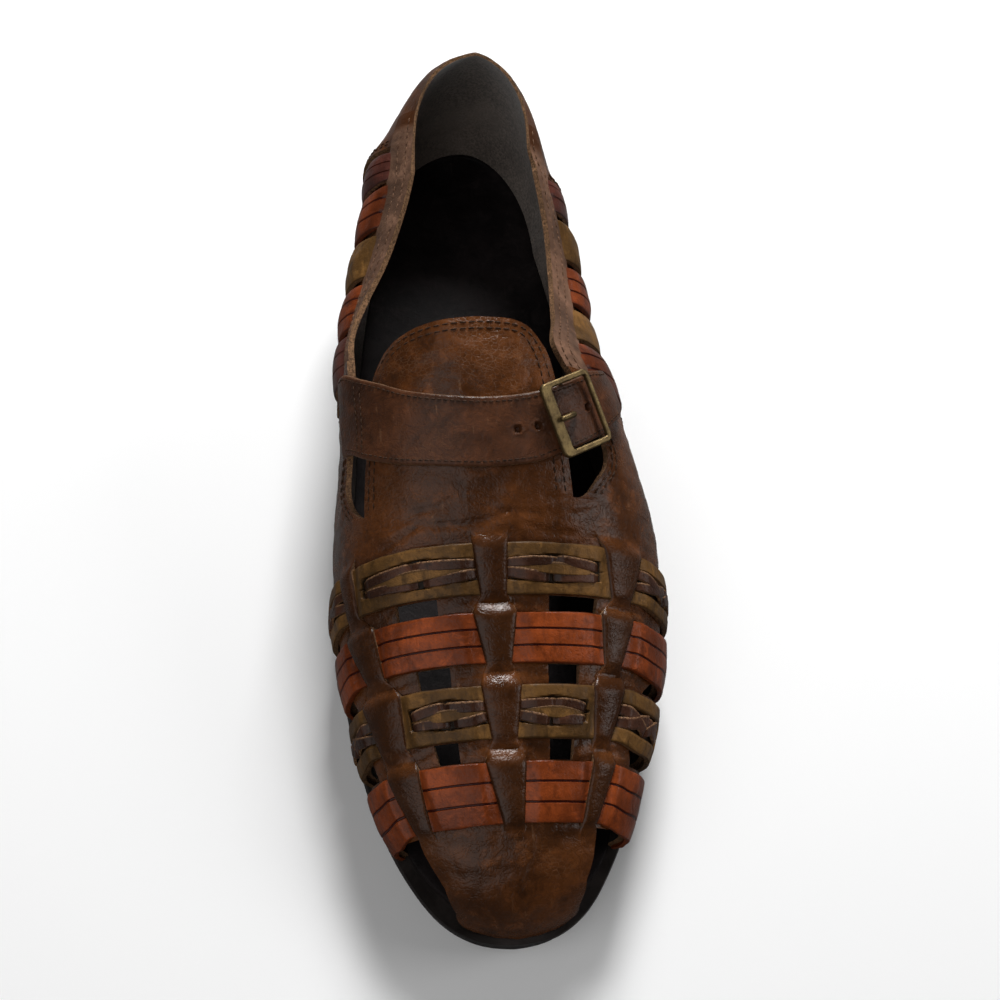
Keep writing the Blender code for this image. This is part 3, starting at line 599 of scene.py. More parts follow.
def shoulder(distance, radius):
    """Drop of a rounded edge, at a distance in from it."""
    inside = np.clip(1.0 - distance / radius, 0.0, 1.0)
    return radius * (1.0 - np.sqrt(1.0 - inside ** 2))


def creases(place, rows):
    """Soft troughs with a low ridge beside them; rows are (y, x, half, slope, wide, deep)."""
    total = np.zeros(place.shape[:-1])
    for y, x, half, slope, wide, deep in rows:
        along = place[..., 0] - x
        off = place[..., 1] - y - slope * along - 0.012 * along ** 2 * np.sign(deep)
        fade = 1.0 - ease(np.abs(along), half * 0.5, half)
        trough = np.exp(-(off / wide) ** 2) - 0.45 * np.exp(-((off - 1.9 * wide) / wide) ** 2)
        total -= np.abs(deep) * trough * fade
    return total


FORE_CREASES = (
    (-31.5, -14.0, 17.0, 0.10, 0.9, 0.50), (-28.6, 3.0, 14.0, -0.05, 0.8, 0.42),
    (-33.6, 12.0, 13.0, -0.12, 0.8, 0.40), (-25.5, -22.0, 12.0, 0.22, 0.9, 0.40),
    (-24.0, 14.0, 12.0, -0.10, 0.9, 0.36), (-33.0, -34.0, 8.0, 0.35, 0.9, 0.45),
    (-29.5, -27.0, 10.0, -0.25, 0.7, 0.32), (-27.0, 24.0, 9.0, 0.22, 0.8, 0.34),
    (-54.4, -5.0, 9.0, 0.02, 0.6, 0.34), (-53.0, -12.0, 7.0, 0.2, 0.5, 0.28),
    (-75.6, -5.0, 10.0, -0.03, 0.6, 0.34), (-76.8, 4.0, 7.0, 0.1, 0.5, 0.26),
    (-98.4, -4.0, 10.0, 0.04, 0.6, 0.38), (-97.0, -9.0, 7.0, -0.15, 0.5, 0.28),
    (-55.0, 36.0, 8.0, 0.1, 0.7, 0.34), (-76.0, 33.0, 7.0, -0.1, 0.7, 0.34),
    (-98.0, 30.0, 6.0, 0.1, 0.6, 0.34), (-55.6, -42.0, 7.0, 0.3, 0.7, 0.34),
    (-76.2, -36.0, 7.0, 0.2, 0.7, 0.34), (-98.6, -31.0, 7.0, 0.3, 0.6, 0.34),
    (-122.0, -8.0, 12.0, 0.05, 0.9, 0.24),
)


def fore_stations():
    breaks = [-147, -146.3, -145, -143.4, -140, -134, -127]
    for start, end in ROWS:
        breaks += [start - STEP, start, end, end + STEP]
    breaks += [-26.5, SLOT_START]
    return spread(breaks, 0.95)


def fore_block():
    """The closed forefoot with its strips, webs and openings."""
    s = fore_stations()
    sides = {side: fore_girths(s, side) for side in SIDES}
    t = np.concatenate([-sides["medial"][:, :0:-1], sides["lateral"]], 1)
    width = len(COLUMNS) - 1
    s_all = np.broadcast_to(s[:, None], t.shape)
    place = wall_point(s_all, t)
    over = row_window(s)[:, None]
    base = np.full(t.shape, VAMP_HIGH)
    web = ease(s, ROWS[0][0] - 2.0, ROWS[0][0])[:, None] * (1 - ease(s, -35.0, -31.0))[:, None]
    base = base + (WEB_HIGH - VAMP_HIGH) * web
    inside = row_window(s, 1.2, 0.4, 0.5)[:, None]
    fuller = hump(s)[:, None]
    height = base + (BED_HIGH - base) * inside
    raw, dip = np.zeros(t.shape), np.zeros(t.shape)
    for side, hand in SIDES.items():
        keys = fore_keys(s, side)
        half_girth = HALF_GIRTH[side] * np.interp(s, (-147, -120, -50), (0.55, 0.72, 1))
        sign = t * hand >= 0
        reach = np.abs(t)
        centre, panel, strip = (keys[:, k:k + 1] for k in (CENTRE, PANEL_TOP, STRIP))
        girth_mm = half_girth[:, None]
        on_centre = sign & (reach <= centre + 1e-6)
        bow = STRIP_HIGH + fuller - 0.55 * (reach / centre) ** 2
        bow = bow - shoulder((centre - reach) * girth_mm, 0.9)
        height = np.where(on_centre, base + (bow - base) * over, height)
        on_strip = sign & (reach >= panel - 1e-6) & (reach <= strip + 1e-6)
        across = (reach - (panel + strip) / 2) / ((strip - panel) / 2)
        bow = STRIP_HIGH - 0.1 + fuller - 0.45 * across ** 2
        bow = bow - shoulder((reach - panel) * girth_mm, 0.7)
        bow = bow - shoulder((strip - reach) * girth_mm, 0.9)
        height = np.where(on_strip, base + (bow - base) * over, height)
        lip = sign & (np.abs(reach - panel) * girth_mm < 0.12)
        raw = np.maximum(raw, np.where(lip, over, 0.0))
        dip = np.maximum(dip, 0.55 * over * (on_centre | on_strip))
    fine = ripple(place, 3.4, 5) * 0.06 + ripple(place, 9.0, 6) * 0.16
    wrinkled = web * (1.0 - inside)
    height = height + fine * (1.0 - 0.5 * (inside > 0.5)) + ripple(place, 2.1, 7) * 0.13 * wrinkled
    height = height + creases(place, FORE_CREASES) * (1.0 - 0.7 * inside)
    height = np.maximum(height, 1.3)
    place = base_for(s_all, t, height)
    open_cells, paint = fore_cells(s, width, over)
    values = {"thickness": height / MOST_HIGH, "raw": raw, "dip": dip}
    return grid_mesh("fore", place, values, ~open_cells, paint, flip=True), t[-1]


def base_for(s, t, height):
    """The leather's inner face, its lower edge raised off the welt."""
    place = wall_point(s, t)
    place[..., 2] = clear_welt(s, place[..., 2], height)
    return place


def fore_cells(s, width, over):
    """Which cells of the forefoot are cut out, and which are a strip's cut edge."""
    middle = (s[:-1] + s[1:]) / 2
    open_cells = np.zeros((len(s) - 1, 2 * width), bool)
    paint = np.zeros(open_cells.shape, int)
    col = KEY_COLUMN
    spans = []
    for n, (_, low) in enumerate(ROWS[:-1]):
        high = ROWS[n + 1][0]
        spans.append((low, high, col[IN], col[OUT]))
        spans.append((low, high, col[STRIP_FOOT] if n < 2 else col[SIDE], width))
    spans.append((WINDOW_FRONT, ROWS[0][0] - STEP, col[STRIP_FOOT], width))
    for low, high, first, last in spans:
        if first == col[STRIP_FOOT] and low > WINDOW_FRONT:
            first = col[SIDE]
        rows = (middle > low) & (middle < high)
        for shift in range(first, last):
            open_cells[rows, width + shift] = True
            open_cells[rows, width - 1 - shift] = True
    raised = (over[:-1, 0] + over[1:, 0]) / 2 > 0.45
    for key in (CENTRE, PANEL, STRIP):
        paint[raised, width + col[key]] = paint[raised, width - 1 - col[key]] = 1
    return open_cells, paint


def uneven(place):
    """The vamp leather's thickness, a little uneven."""
    return VAMP_HIGH + 0.16 * ripple(place, 9.0, 6) + 0.06 * ripple(place, 3.4, 5)


def tongue_end(q):
    """Stations of the tongue's round end; q runs from -1 to 1 across it."""
    rounding = (1.0 - np.minimum(np.abs(q), 1.0) ** 5) ** 0.45
    return TONGUE_SIDE + (TONGUE_TIP - TONGUE_SIDE) * rounding


def tongue_block(girths):
    """The tongue, from the vamp back to its round end."""
    width = len(COLUMNS) - 1
    edge = KEY_COLUMN[PANEL]
    t = girths[width - edge:width + edge + 1]
    q = t / np.where(t < 0, seam(SLOT_START, "panel_medial"), seam(SLOT_START, "panel_lateral"))
    v = np.linspace(0.0, 1.0, 58)[:, None]
    s = SLOT_START + (tongue_end(q) - SLOT_START) * v
    t_all = np.broadcast_to(t, s.shape)
    place = last_point(s, t_all)
    height = uneven(place) - EDGE_THIN * ease(v, 0.95, 1.0)
    values = {"thickness": height / MOST_HIGH, "raw": np.zeros(s.shape)}
    return grid_mesh("tongue", place, values, flip=True)


def wing_block(girths, side):
    """The front of the quarters, one leather with the vamp."""
    hand = SIDES[side]
    first = QUARTER_STRAPS[side][0][0]
    edge = KEY_COLUMN[PANEL_TOP]
    width = len(COLUMNS) - 1
    half = girths[width + edge:] if hand > 0 else -girths[:width - edge + 1][::-1]
    share = (half - half[0]) / (1.0 - half[0])
    ahead = [SLOT_START + x for x in (0.0, 0.12, 0.5, 1.0, 1.7, 2.6)]
    s = spread(ahead + [first + 1.5], 1.0)[:, None]
    top = collar(s, side)
    round_end = np.clip((s - SLOT_START) / 2.6, 0.0, 1.0)
    corner = (1.0 - np.sqrt(1.0 - (1.0 - round_end) ** 2)) * (round_end > 0)
    top = top - np.minimum(top - seam(SLOT_START, "panel_" + side), 0.034) * corner
    t = hand * (top + (1.0 - top) * share)
    t = t if hand > 0 else t[:, ::-1]
    s_all = np.broadcast_to(s, t.shape)
    place = wall_point(s_all, t)
    height = uneven(place) + 0.5 * ease(s, first - 14.0, first)
    height = height - EDGE_THIN * (1.0 - ease(np.abs(t) - top, 0.0, 0.035))
    values = {"thickness": height / MOST_HIGH, "raw": np.zeros(t.shape)}
    return grid_mesh("wing", base_for(s_all, t, height), values, flip=True)


def make_vamp():
    fore, girths = fore_block()
    mesh = joined("vamp", [fore, tongue_block(girths)] + [wing_block(girths, x) for x in SIDES])
    finishes = [make_finish(key) for key in ("vamp", "raw", "lining", "lining")]
    item = new_piece("vamp", mesh, finishes, ("upper",))
    return solidify(item, MOST_HIGH, 2, 1)


# ---------------------------------------------------------------- the quarters
def quarter_stations(side):
    """Stations through the straps' and slits' edges, to the back of the heel."""
    straps = QUARTER_STRAPS[side]
    breaks = []
    for start, end in straps:
        breaks += [start - STEP, start, end, end + STEP]
    front = COUNTER_FRONT[side]
    breaks += [front - STEP_RUN, front, HEEL_END]
    return spread(breaks, 1.25), straps


# the quarter straps' orange is the woven straps' orange darkened to two thirds: painted shade
QUARTER_FINISHES = {
    "medial": ("russet", "orange_painted_shade", "olive", "orange_painted_shade", "russet"),
    "lateral": ("orange_painted_shade", "olive", "orange_painted_shade", "olive", "russet"),
}
BAND_SHARE = 0.19             # of the way from the topline down to the welt
BAND_EDGE = BAND_SHARE + 0.005
SLIT_SHARES = (0.205, 0.49)
LOWER_STRIP = (0.52, 0.68)
STRIP_EDGES = (0.518, 0.682)
SHARE_BREAKS = (0.0, BAND_SHARE, BAND_EDGE, *SLIT_SHARES, STRIP_EDGES[0], *LOWER_STRIP,
                STRIP_EDGES[1], 0.71, 1.0)
QUARTER_GIRTH = 62.0          # from topline to welt
SIDE_WEB_HIGH = 1.5
LOWER_STRIP_HIGH = 3.7
STEP_RUN = 0.5                # length of the counter's cut front edge
LINING_FRONT = 92.0           # ahead of this the straps' backs show inside


def counter_high(share, past):
    """Height of the counter at a share down the wall, past its front edge."""
    back = BAND_HIGH + 0.9 * np.sin(np.pi * np.clip((share - 0.25) / 0.6, 0, 1)) ** 2
    flare = 2.6 * np.exp(-(past / 9.0) ** 2) * ease(share, 0.17, 0.4)
    return back + flare * (1.0 - ease(share, 0.8, 1.0))


def quarter_block(side):
    """Band, webs, lower strip and counter on one side."""
    s, straps = quarter_stations(side)
    share = spread(SHARE_BREAKS, 0.02)
    t = down_wall(s[:, None], side, share)
    s_all = np.broadcast_to(s[:, None], t.shape)
    share_all = np.broadcast_to(share, t.shape)
    front = COUNTER_FRONT[side]
    counter = (s > front - STEP_RUN / 2)[:, None] * 1.0
    height = np.where(share_all <= BAND_SHARE + 1e-4, BAND_HIGH, SIDE_WEB_HIGH)
    strip = (share_all >= LOWER_STRIP[0] - 1e-4) & (share_all <= LOWER_STRIP[1] + 1e-4)
    inside = np.minimum(share_all - LOWER_STRIP[0], LOWER_STRIP[1] - share_all) * QUARTER_GIRTH
    height = np.where(strip, LOWER_STRIP_HIGH - shoulder(inside, 0.7), height)
    height = height + (counter_high(share_all, (s - front)[:, None]) - height) * counter
    height = height - EDGE_THIN * (1.0 - ease(share_all, 0.0, 0.07))
    thin = ease(s, 100.0, 132.0)[:, None] * (1.0 - ease(share_all, 0.0, 0.16))
    height = height - (BAND_HIGH - HEEL_RIM) * thin
    place = wall_point(s_all, t)
    height = height + 0.10 * ripple(place, 10.0, 16) + 0.05 * ripple(place, 3.4, 15)
    middle, level = (s[:-1] + s[1:]) / 2, (share[:-1] + share[1:]) / 2
    slit = np.zeros(len(middle), bool)
    for (_, end), after in zip(straps, [x[0] for x in straps[1:]] + [front]):
        slit |= (middle > end + STEP) & (middle < after - STEP)
    tall = (level > SLIT_SHARES[0]) & (level < SLIT_SHARES[1])
    keep = ~(slit[:, None] & tall[None, :])
    paint = np.zeros(keep.shape, int)
    paint[:, level < BAND_SHARE] = 2
    paint[(middle > front)[:, None] & (level > BAND_SHARE)[None, :]] = 4
    paint[middle > HEEL_AXIS + 45.0] = 4
    for (start, end), key in zip(straps, QUARTER_FINISHES[side]):
        behind = (middle > start) & (middle < end) & (middle < LINING_FRONT)
        open_back = behind[:, None] & ((level > BAND_EDGE) & (level < STRIP_EDGES[0]))[None, :]
        paint[open_back] = 6 if key == "olive" else 5
    edges = ((level > BAND_SHARE) & (level < BAND_EDGE)) \
        | ((level > STRIP_EDGES[0]) & (level < LOWER_STRIP[0])) \
        | ((level > LOWER_STRIP[1]) & (level < STRIP_EDGES[1]))
    paint[(middle < front)[:, None] & edges[None, :]] = 1
    paint[(np.abs(middle - front + STEP_RUN / 2) < STEP_RUN / 2)[:, None]
          & (level > BAND_SHARE)[None, :]] = 1
    fade = ease(s, front + 2.0, HEEL_AXIS + 43.0)[:, None] * (share_all <= BAND_SHARE + 1e-4)
    values = {"thickness": height / MOST_HIGH, "dip": fade}
    return grid_mesh("quarter", base_for(s_all, t, height), values, keep, paint,
                     flip=SIDES[side] > 0)


def make_quarters():
    mesh = joined("quarters", [quarter_block(side) for side in SIDES])
    outer = ("vamp", "raw", "band", "raw", "counter", "raw", "vamp")
    inner = ("lining",) * 5 + ("orange_back", "olive_back")
    finishes = [make_finish(key) for key in outer + inner]
    item = new_piece("quarters", mesh, finishes, ("upper",))
    return solidify(item, MOST_HIGH, len(outer), 1)


# ---------------------------------------------------------------- straps woven through the leather
GROOVES = (0.34, 0.67)

# thongs through a slit strap: points of (share of the way from its outer end to its inner
# one, offset towards the rear)
PANEL_THONGS = (
    ((0.13, 1.0), (0.32, 1.9), (0.57, 2.9)),
    ((0.55, 2.8), (0.80, 2.5), (1.04, 2.2)),
    ((0.13, -2.5), (0.36, -2.6), (0.60, -2.9)),
    ((0.64, -3.0), (0.82, -2.4), (1.04, -1.0)),
    ((0.12, -0.8), (0.55, -0.3), (1.04, 0.4)),
)
SIDE_THONGS = (
    ((-0.05, -2.6), (0.22, -0.6), (0.45, 2.4)),
    ((0.34, 2.6), (0.55, 0.8), (0.80, -1.6), (1.03, -2.3)),
    ((0.02, 2.6), (0.25, 0.4), (0.50, -2.6)),
    ((0.42, -2.6), (0.62, -0.4), (0.85, 1.9), (1.03, 2.4)),
)
OLIVE_THONGS = (4,)           # strands cut from the strap itself
BRAID_SPAN = 18.0             # length of a row for which the offsets are given


def row_keys(start, end, side):
    return fore_keys(np.array([(start + end) / 2]), side)[0]


def under_strips(t, keys_by_side):
    """1 where a woven strap runs under a strip, and how far out past the side strip."""
    reach = np.abs(t)
    under, past = np.zeros(t.shape), np.zeros(t.shape)
    for side, hand in SIDES.items():
        keys = keys_by_side[side]
        on = t * hand >= 0
        centre, near, far = keys[CENTRE], keys[PANEL_TOP], keys[STRIP]
        bridge = 1.0 - ease(reach, centre - 0.01, centre + 0.05)
        strip = ease(reach, near - 0.05, near) * (1.0 - ease(reach, far, far + 0.05))
        under = np.where(on, np.maximum(bridge, strip), under)
        past = np.where(on, ease(reach, far, far + 0.17), past)
    return under, past


def strap_lift(t, under):
    return 2.1 - 1.1 * under - 0.4 * ease(np.abs(t), 0.80, 0.98)


def panels(start, end):
    """The braided lengths of one row: their outer and inner girths and which kind."""
    spans = []
    for side, hand in SIDES.items():
        keys = row_keys(start, end, side)
        spans.append((hand * keys[PANEL], hand * keys[CENTRE], hand, True))
        spans.append((hand * min(keys[STRIP] + 0.30, 0.86), hand * keys[STRIP], hand, False))
    return spans


def girth_length(middle, outer, inner):
    line = wall_point(np.full(20, middle), np.linspace(outer, inner, 20))
    return np.linalg.norm(np.diff(line, axis=0), axis=1).sum()


def slit_depth(offset, t, start, end):
    """How deep the strap's slit is, over places across and along the row."""
    deep = np.zeros(np.broadcast(offset, t).shape)
    wide = (end - start) / BRAID_SPAN
    for outer, inner, _, wide_panel in panels(start, end):
        share = (t - outer) / (inner - outer)
        if wide_panel:
            half = np.interp(share, (0.10, 0.12, 0.32, 0.5, 0.62, 0.75, 1.0, 1.1),
                             (0.0, 3.6, 4.0, 4.9, 5.2, 4.5, 3.7, 3.5)) * wide
            inside = ease(half - np.abs(offset), -0.2, 0.25) * (share > 0.09) * (share < 1.1)
            deep = np.maximum(deep, inside)
        else:
            inside = ease(4.0 * wide - np.abs(offset), -0.2, 0.3) * (share > -0.12) * (share < 1.1)
            deep = np.maximum(deep, inside)
    return mm("slit_deep") * deep


def woven_strap(name, start, end, orange):
    """One strap across the forefoot, from welt to welt, under the strips."""
    span = end - start
    keys = {side: row_keys(start, end, side) for side in SIDES}
    across, high, dip, edge = strap_profile(span, mm("row_thick"), 0.6, 0.8 if orange else 0.42,
                                            [span * g for g in GROOVES] if orange else ())
    t = np.linspace(-0.985, 0.985, 230)[:, None]
    under, past = under_strips(t, keys)
    place = np.stack([across[None, :] + 0.0 * t, 90.0 * t + 0.0 * across, 0.0 * t + 0.0 * across], -1)
    wavy = 0.22 * ripple(place, 14.0, int(start) + 300)
    s = start + across[None, :] - past * (2.0 - 0.9 * across[None, :] / span)
    s = s + wavy * (edge[None, :] > 0.3) * (1.0 - under)
    lift = strap_lift(t, under)
    crown = 0.45 * (1.0 - ((across - span / 2) / (span / 2)) ** 2)
    height = lift + high[None, :] + crown[None, :] * (high > 0.5)[None, :] * (1.0 - under)
    height = height + 0.07 * ripple(place, 6.0, int(start) + 301) * (high > 0.5)
    raw = np.broadcast_to(edge, height.shape).copy()
    slit_shade = 0.0
    if not orange:
        deep = slit_depth(across[None, :] - span / 2, t, start, end)
        deep = deep * (high[None, :] > 0.9)
        height = height - deep
        full = mm("slit_deep")
        # the slit's depth becomes the dip mark, which darkens the olive nearly to black in the slit:
        # painted shade
        slit_shade = ease(deep, 0.45 * full, 0.95 * full)
        lip = np.exp(-((deep - full / 2) / 0.4) ** 2) * (deep > 0.08)
        raw = np.maximum(raw, lip)
    points = over_last(s, np.broadcast_to(t, s.shape), height)
    values = {"dip": np.broadcast_to(dip if orange else slit_shade, height.shape), "raw": raw}
    mesh = grid_mesh(name, points, values, merge=0.004)
    closed(mesh)
    return new_piece(name, mesh, (make_finish("orange" if orange else "olive"),),
                     ("upper",))


def make_woven_straps():
    for n, (start, end) in enumerate(ROWS):
        woven_strap("strap_row_%d" % (4 - n), start + 0.15, end - 0.15, n % 2 == 0)


def thong(path, start, end, outer, inner, seed, olive):
    """One leather thong lying in a slit strap, its two ends tucked under."""
    draw = np.random.default_rng(seed)
    path = np.array(path)
    path[:, 1] = (path[:, 1] + draw.normal(0.0, 0.18, len(path))) * (end - start) / BRAID_SPAN
    u = np.linspace(0.0, 1.0, 34)
    key = np.linspace(0.0, 1.0, len(path))
    length = girth_length((start + end) / 2, outer, inner)
    centre = np.stack([spline(u, key, path[:, 0]) * length, spline(u, key, path[:, 1])], 1)
    way = np.gradient(centre, axis=0)
    way /= np.linalg.norm(way, axis=1, keepdims=True)
    wide, thick = mm("thong_wide"), mm("thong_thick")
    across, high, _, edge = strap_profile(wide, thick, 0.32, 0.5)
    off = across - wide / 2
    narrow = (0.66 + 0.34 * np.sin(np.pi * u) ** 0.4)[:, None] * (1.0 + 0.06 * draw.normal())
    if olive:
        narrow = (0.10 + 1.05 * np.sin(np.pi * u) ** 1.3)[:, None]
    x = centre[:, :1] - way[:, 1:] * off * narrow
    y = centre[:, 1:] + way[:, :1] * off * narrow
    t = outer + (inner - outer) * x / length
    s = (start + end) / 2 + y
    keys = {side: row_keys(start, end, side) for side in SIDES}
    under, past = under_strips(t, keys)
    s = s - past * 1.5
    tuck = 1.0 - ease(np.minimum(u, 1.0 - u), 0.0, 0.16)
    roll = 0.22 * draw.normal() * (off / wide)[None, :] * np.sin(np.pi * u)[:, None]
    rise = strap_lift(t, under) + 0.42 * (1.0 - under) + mm("row_thick") - thick + 0.1
    height = rise + high[None, :] + roll - 1.0 * tuck[:, None] + 0.22 * np.sin(np.pi * u)[:, None]
    points = over_last(s, t, height)
    # a pale band along one edge of each thong: its cut edge, widened as a painted highlight
    bright = np.maximum(edge, 0.85 * ease(off, wide / 2 - 0.7, wide / 2 - 0.3))
    mesh = grid_mesh("thong", points, {"raw": np.broadcast_to(bright, height.shape)}, merge=0.004)
    closed(mesh)
    mesh.polygons.foreach_set("material_index", np.full(len(mesh.polygons), int(olive)))
    return mesh


def make_thongs():
    """The braids of the two slit straps."""
    for n, (start, end) in enumerate(ROWS):
        if n % 2 == 0:
            continue
        meshes = []
        for k, (outer, inner, _, wide_panel) in enumerate(panels(start, end)):
            for m, path in enumerate(PANEL_THONGS if wide_panel else SIDE_THONGS):
                meshes.append(thong(path, start, end, outer, inner, 100 * n + 10 * k + m,
                                    m in OLIVE_THONGS))
        mesh = joined("thongs", meshes, merge=0.0)
        smooth(mesh)
        new_piece("thongs_row_%d" % (4 - n), mesh, (make_finish("thong"), make_finish("olive")),
                  ("upper",))


def quarter_strap(name, side, start, end, key):
    """One strap on the quarters, bulging between the band and the lower strip."""
    groove = key != "olive"
    span = end - start + 1.2
    across, high, dip, edge = strap_profile(span, mm("quarter_thick"), 0.6, 1.0,
                                            [span * g for g in GROOVES] if groove else ())
    share = np.linspace(0.13, 0.985, 80)[:, None]
    s = start - 0.6 + across[None, :] + 0.0 * share
    t = down_wall(s, side, share)
    upper = np.sin(np.pi * np.clip((share - 0.17) / 0.36, 0, 1)) ** 0.7
    lower = np.sin(np.pi * np.clip((share - 0.66) / 0.36, 0, 1)) ** 0.7
    lift = 0.35 + 3.0 * upper + 1.8 * lower
    place = np.stack([s, 60.0 * share + 0.0 * s, 0.0 * s], -1)
    crown = 0.8 * (1.0 - ((across - span / 2) / (span / 2)) ** 2)
    height = lift + high[None, :] + crown[None, :] * (0.25 + upper + 0.5 * lower) * (high > 0.5)
    height = height + 0.15 * ripple(place, 9.0, int(start) + 40) * upper
    points = over_last(s, t, height)
    values = {"dip": np.broadcast_to(dip, height.shape), "raw": np.broadcast_to(edge, height.shape)}
    mesh = grid_mesh(name, points, values, merge=0.004)
    closed(mesh)
    return new_piece(name, mesh, (make_finish(key),), ("upper",))


def make_quarter_straps():
    for side, straps in QUARTER_STRAPS.items():
        for n, (start, end) in enumerate(straps):
            quarter_strap("strap_%s_%d" % (side, n + 1), side, start, end,
                          QUARTER_FINISHES[side][n])


# ---------------------------------------------------------------- sole
def outline_point(s, side, inside):
    """Plan points on the sole's edge, moved inside it by a margin."""
    hand = SIDES[side]
    y = np.minimum(s, HEEL_AXIS)
    turn = np.radians(np.clip(s - HEEL_AXIS, 0.0, 90.0))
    axis = LAST_TABLE["ridge"][-1]
    keys = from_toe(OUTLINE_TABLE["s"], SOLE_TOE)
    reach = hand * (spline(from_toe(y, SOLE_TOE), keys, OUTLINE_TABLE[side]) - axis)
    reach = np.where(turn > 0, round_heel(np.maximum(reach, 1e-3), SOLE_BACK,
                                          np.maximum(turn, 1e-9)), reach)
    return axis + hand * (reach - inside) * np.cos(turn), y + (reach - inside) * np.sin(turn)


def feather(s):
    return section(np.clip(s, TOE_TIP, HEEL_AXIS), "feather")


def tread(s):
    return np.maximum(spline(np.minimum(s, HEEL_AXIS), TREAD_TABLE["s"], TREAD_TABLE["z"]), 0.0)


def margin_at(s, most):
    """A margin that closes towards the toe, where the outline is narrow."""
    x, _ = outline_point(s, "lateral", 0.0)
    return np.where(s < 0, np.minimum(most, 0.8 * np.abs(x - 0.5)), most)


def sole_stations(toe):
    nose = toe + (1.0 - np.cos(np.linspace(0.0, np.pi / 2, 22))) * (-120 - toe)
    return np.concatenate([nose, np.arange(-118, 100, 2.0), HEEL_AXIS + np.linspace(0, 90, 42)])


def layer_mesh(name, stations, levels, across=14):
    """A closed layer of the sole; levels are (margin, height) arrays from the bottom up."""
    medial, lateral = ([np.stack([*outline_point(stations, side, margin_at(stations, margin)),
                                  height], -1) for margin, height in levels] for side in SIDES)
    shares = np.linspace(0, 1, across)[1:-1]
    rings = medial + [medial[-1] * (1 - f) + lateral[-1] * f for f in shares]
    rings += lateral[::-1] + [lateral[0] * (1 - f) + medial[0] * f for f in shares]
    points = np.stack(rings + [medial[0]], 1)
    points[..., 0] += SHIFT[0]
    points[..., 1] += SHIFT[1]
    mesh = grid_mesh(name, points, {}, merge=0.01)
    closed(mesh, 0.6)
    return mesh


def make_sole():
    s = sole_stations(SOLE_TOE + 0.05)
    floor, top = tread(s), feather(s) - GAP
    seat = top - WELT - GAP
    outsole = ((2.1, floor), (1.5, floor + 0.6), (1.3, floor + 1.4), (1.3, seat - 2.6),
               (1.75, seat - 2.4), (1.75, seat - 2.1), (1.35, seat - 1.9), (1.35, seat))
    new_piece("sole_edge", layer_mesh("sole_edge", s, outsole), (make_finish("rubber"),),
              ("outsole",))
    welt = ((0.5, top - WELT), (0.05, top - WELT + 0.5), (0.0, top - WELT + 1.3),
            (0.35, top - WELT + 1.5), (0.35, top - WELT + 1.7), (0.0, top - WELT + 1.9),
            (0.05, top - 0.6), (0.5, top))
    new_piece("welt_rand", layer_mesh("welt_rand", s, welt), (make_finish("welt_wax"),),
              ("welt",))
    h = np.concatenate([np.linspace(HEEL_BREAST, HEEL_AXIS, 22)[:-1],
                        HEEL_AXIS + np.linspace(0, 90, 42)])
    seat = tread(h) - GAP
    low = np.zeros(len(h))
    heel = ((3.6, low), (3.1, low + 0.5), (2.9, low + 5.8), (2.5, low + 6.1), (2.5, low + 6.4),
            (2.2, low + 6.6), (1.9, seat * 0.66), (2.1, seat * 0.66 + 0.15),
            (2.1, seat * 0.66 + 0.35), (1.8, seat * 0.66 + 0.5), (1.5, seat))
    new_piece("heel_block", layer_mesh("heel_block", h, heel), (make_finish("rubber"),),
              ("heel",))


def make_insole():
    """The footbed inside the upper, cupped at its edge."""
    s = sole_stations(TOE_TIP + 3.5)
    half = []
    for hand in (-1.0, 1.0):
        edge = last_point(s, hand * np.ones(len(s)))
        y = np.minimum(s, HEEL_AXIS)
        axis = np.stack([section(y, "ridge") + SHIFT[0], y + SHIFT[1], edge[:, 2]], -1)
        away = edge - axis
        reach = np.linalg.norm(away, axis=1, keepdims=True)
        margin = (-0.6 + INSOLE_NOSE * np.clip((TOE_TIP + 22.0 - s) / 16.0, 0.0, 1.0))[:, None]

        def at(inside, rise):
            point = axis + away * (np.maximum(reach - margin - inside, 0.25) / reach)
            point[:, 2] += rise
            return point
        half.append([at(0.0, 0.1), at(0.0, INSOLE - 0.8), at(0.4, INSOLE - 0.2), at(1.2, INSOLE)])
    rings = list(half[0])
    for f in np.linspace(0, 1, 22)[1:-1]:
        point = half[0][-1] * (1 - f) + half[1][-1] * f
        point[:, 2] += 0.8 * (2 * f - 1) ** 6 - 0.8
        rings.append(point)
    rings += half[1][::-1]
    rings.append(half[0][0])
    mesh = grid_mesh("footbed", np.stack(rings, 1), {}, merge=0.01)
    closed(mesh, 0.7)
    new_piece("footbed", mesh, (make_finish("footbed_leather"),), ("insole",))


# ---------------------------------------------------------------- buckled strap
def strap_point(t, across, under=0.0):
    """Points under the strap's inner face; across runs from its front to its rear edge."""
    t, across, under = np.broadcast_arrays(np.asarray(t, float), np.asarray(across, float), under)
    front = spline(t, STRAP_TABLE["t"], STRAP_TABLE["front"])
    rear = spline(t, STRAP_TABLE["t"], STRAP_TABLE["rear"])
    s = front + (rear - front) * across
    lift = spline(t, STRAP_TABLE["t"], STRAP_TABLE["rise"]) - under
    start, full = np.where(t < 0, 0.28, 0.24), np.where(t < 0, 0.5, 0.36)
    lean = collar_lean(s, t) * np.clip((np.abs(t) - start) / (full - start), 0.0, 1.0)

    def point(station, girth):
        return last_point(station, girth, lean)

    return point(s, t) + outward(point, s, t) * lift[..., None]


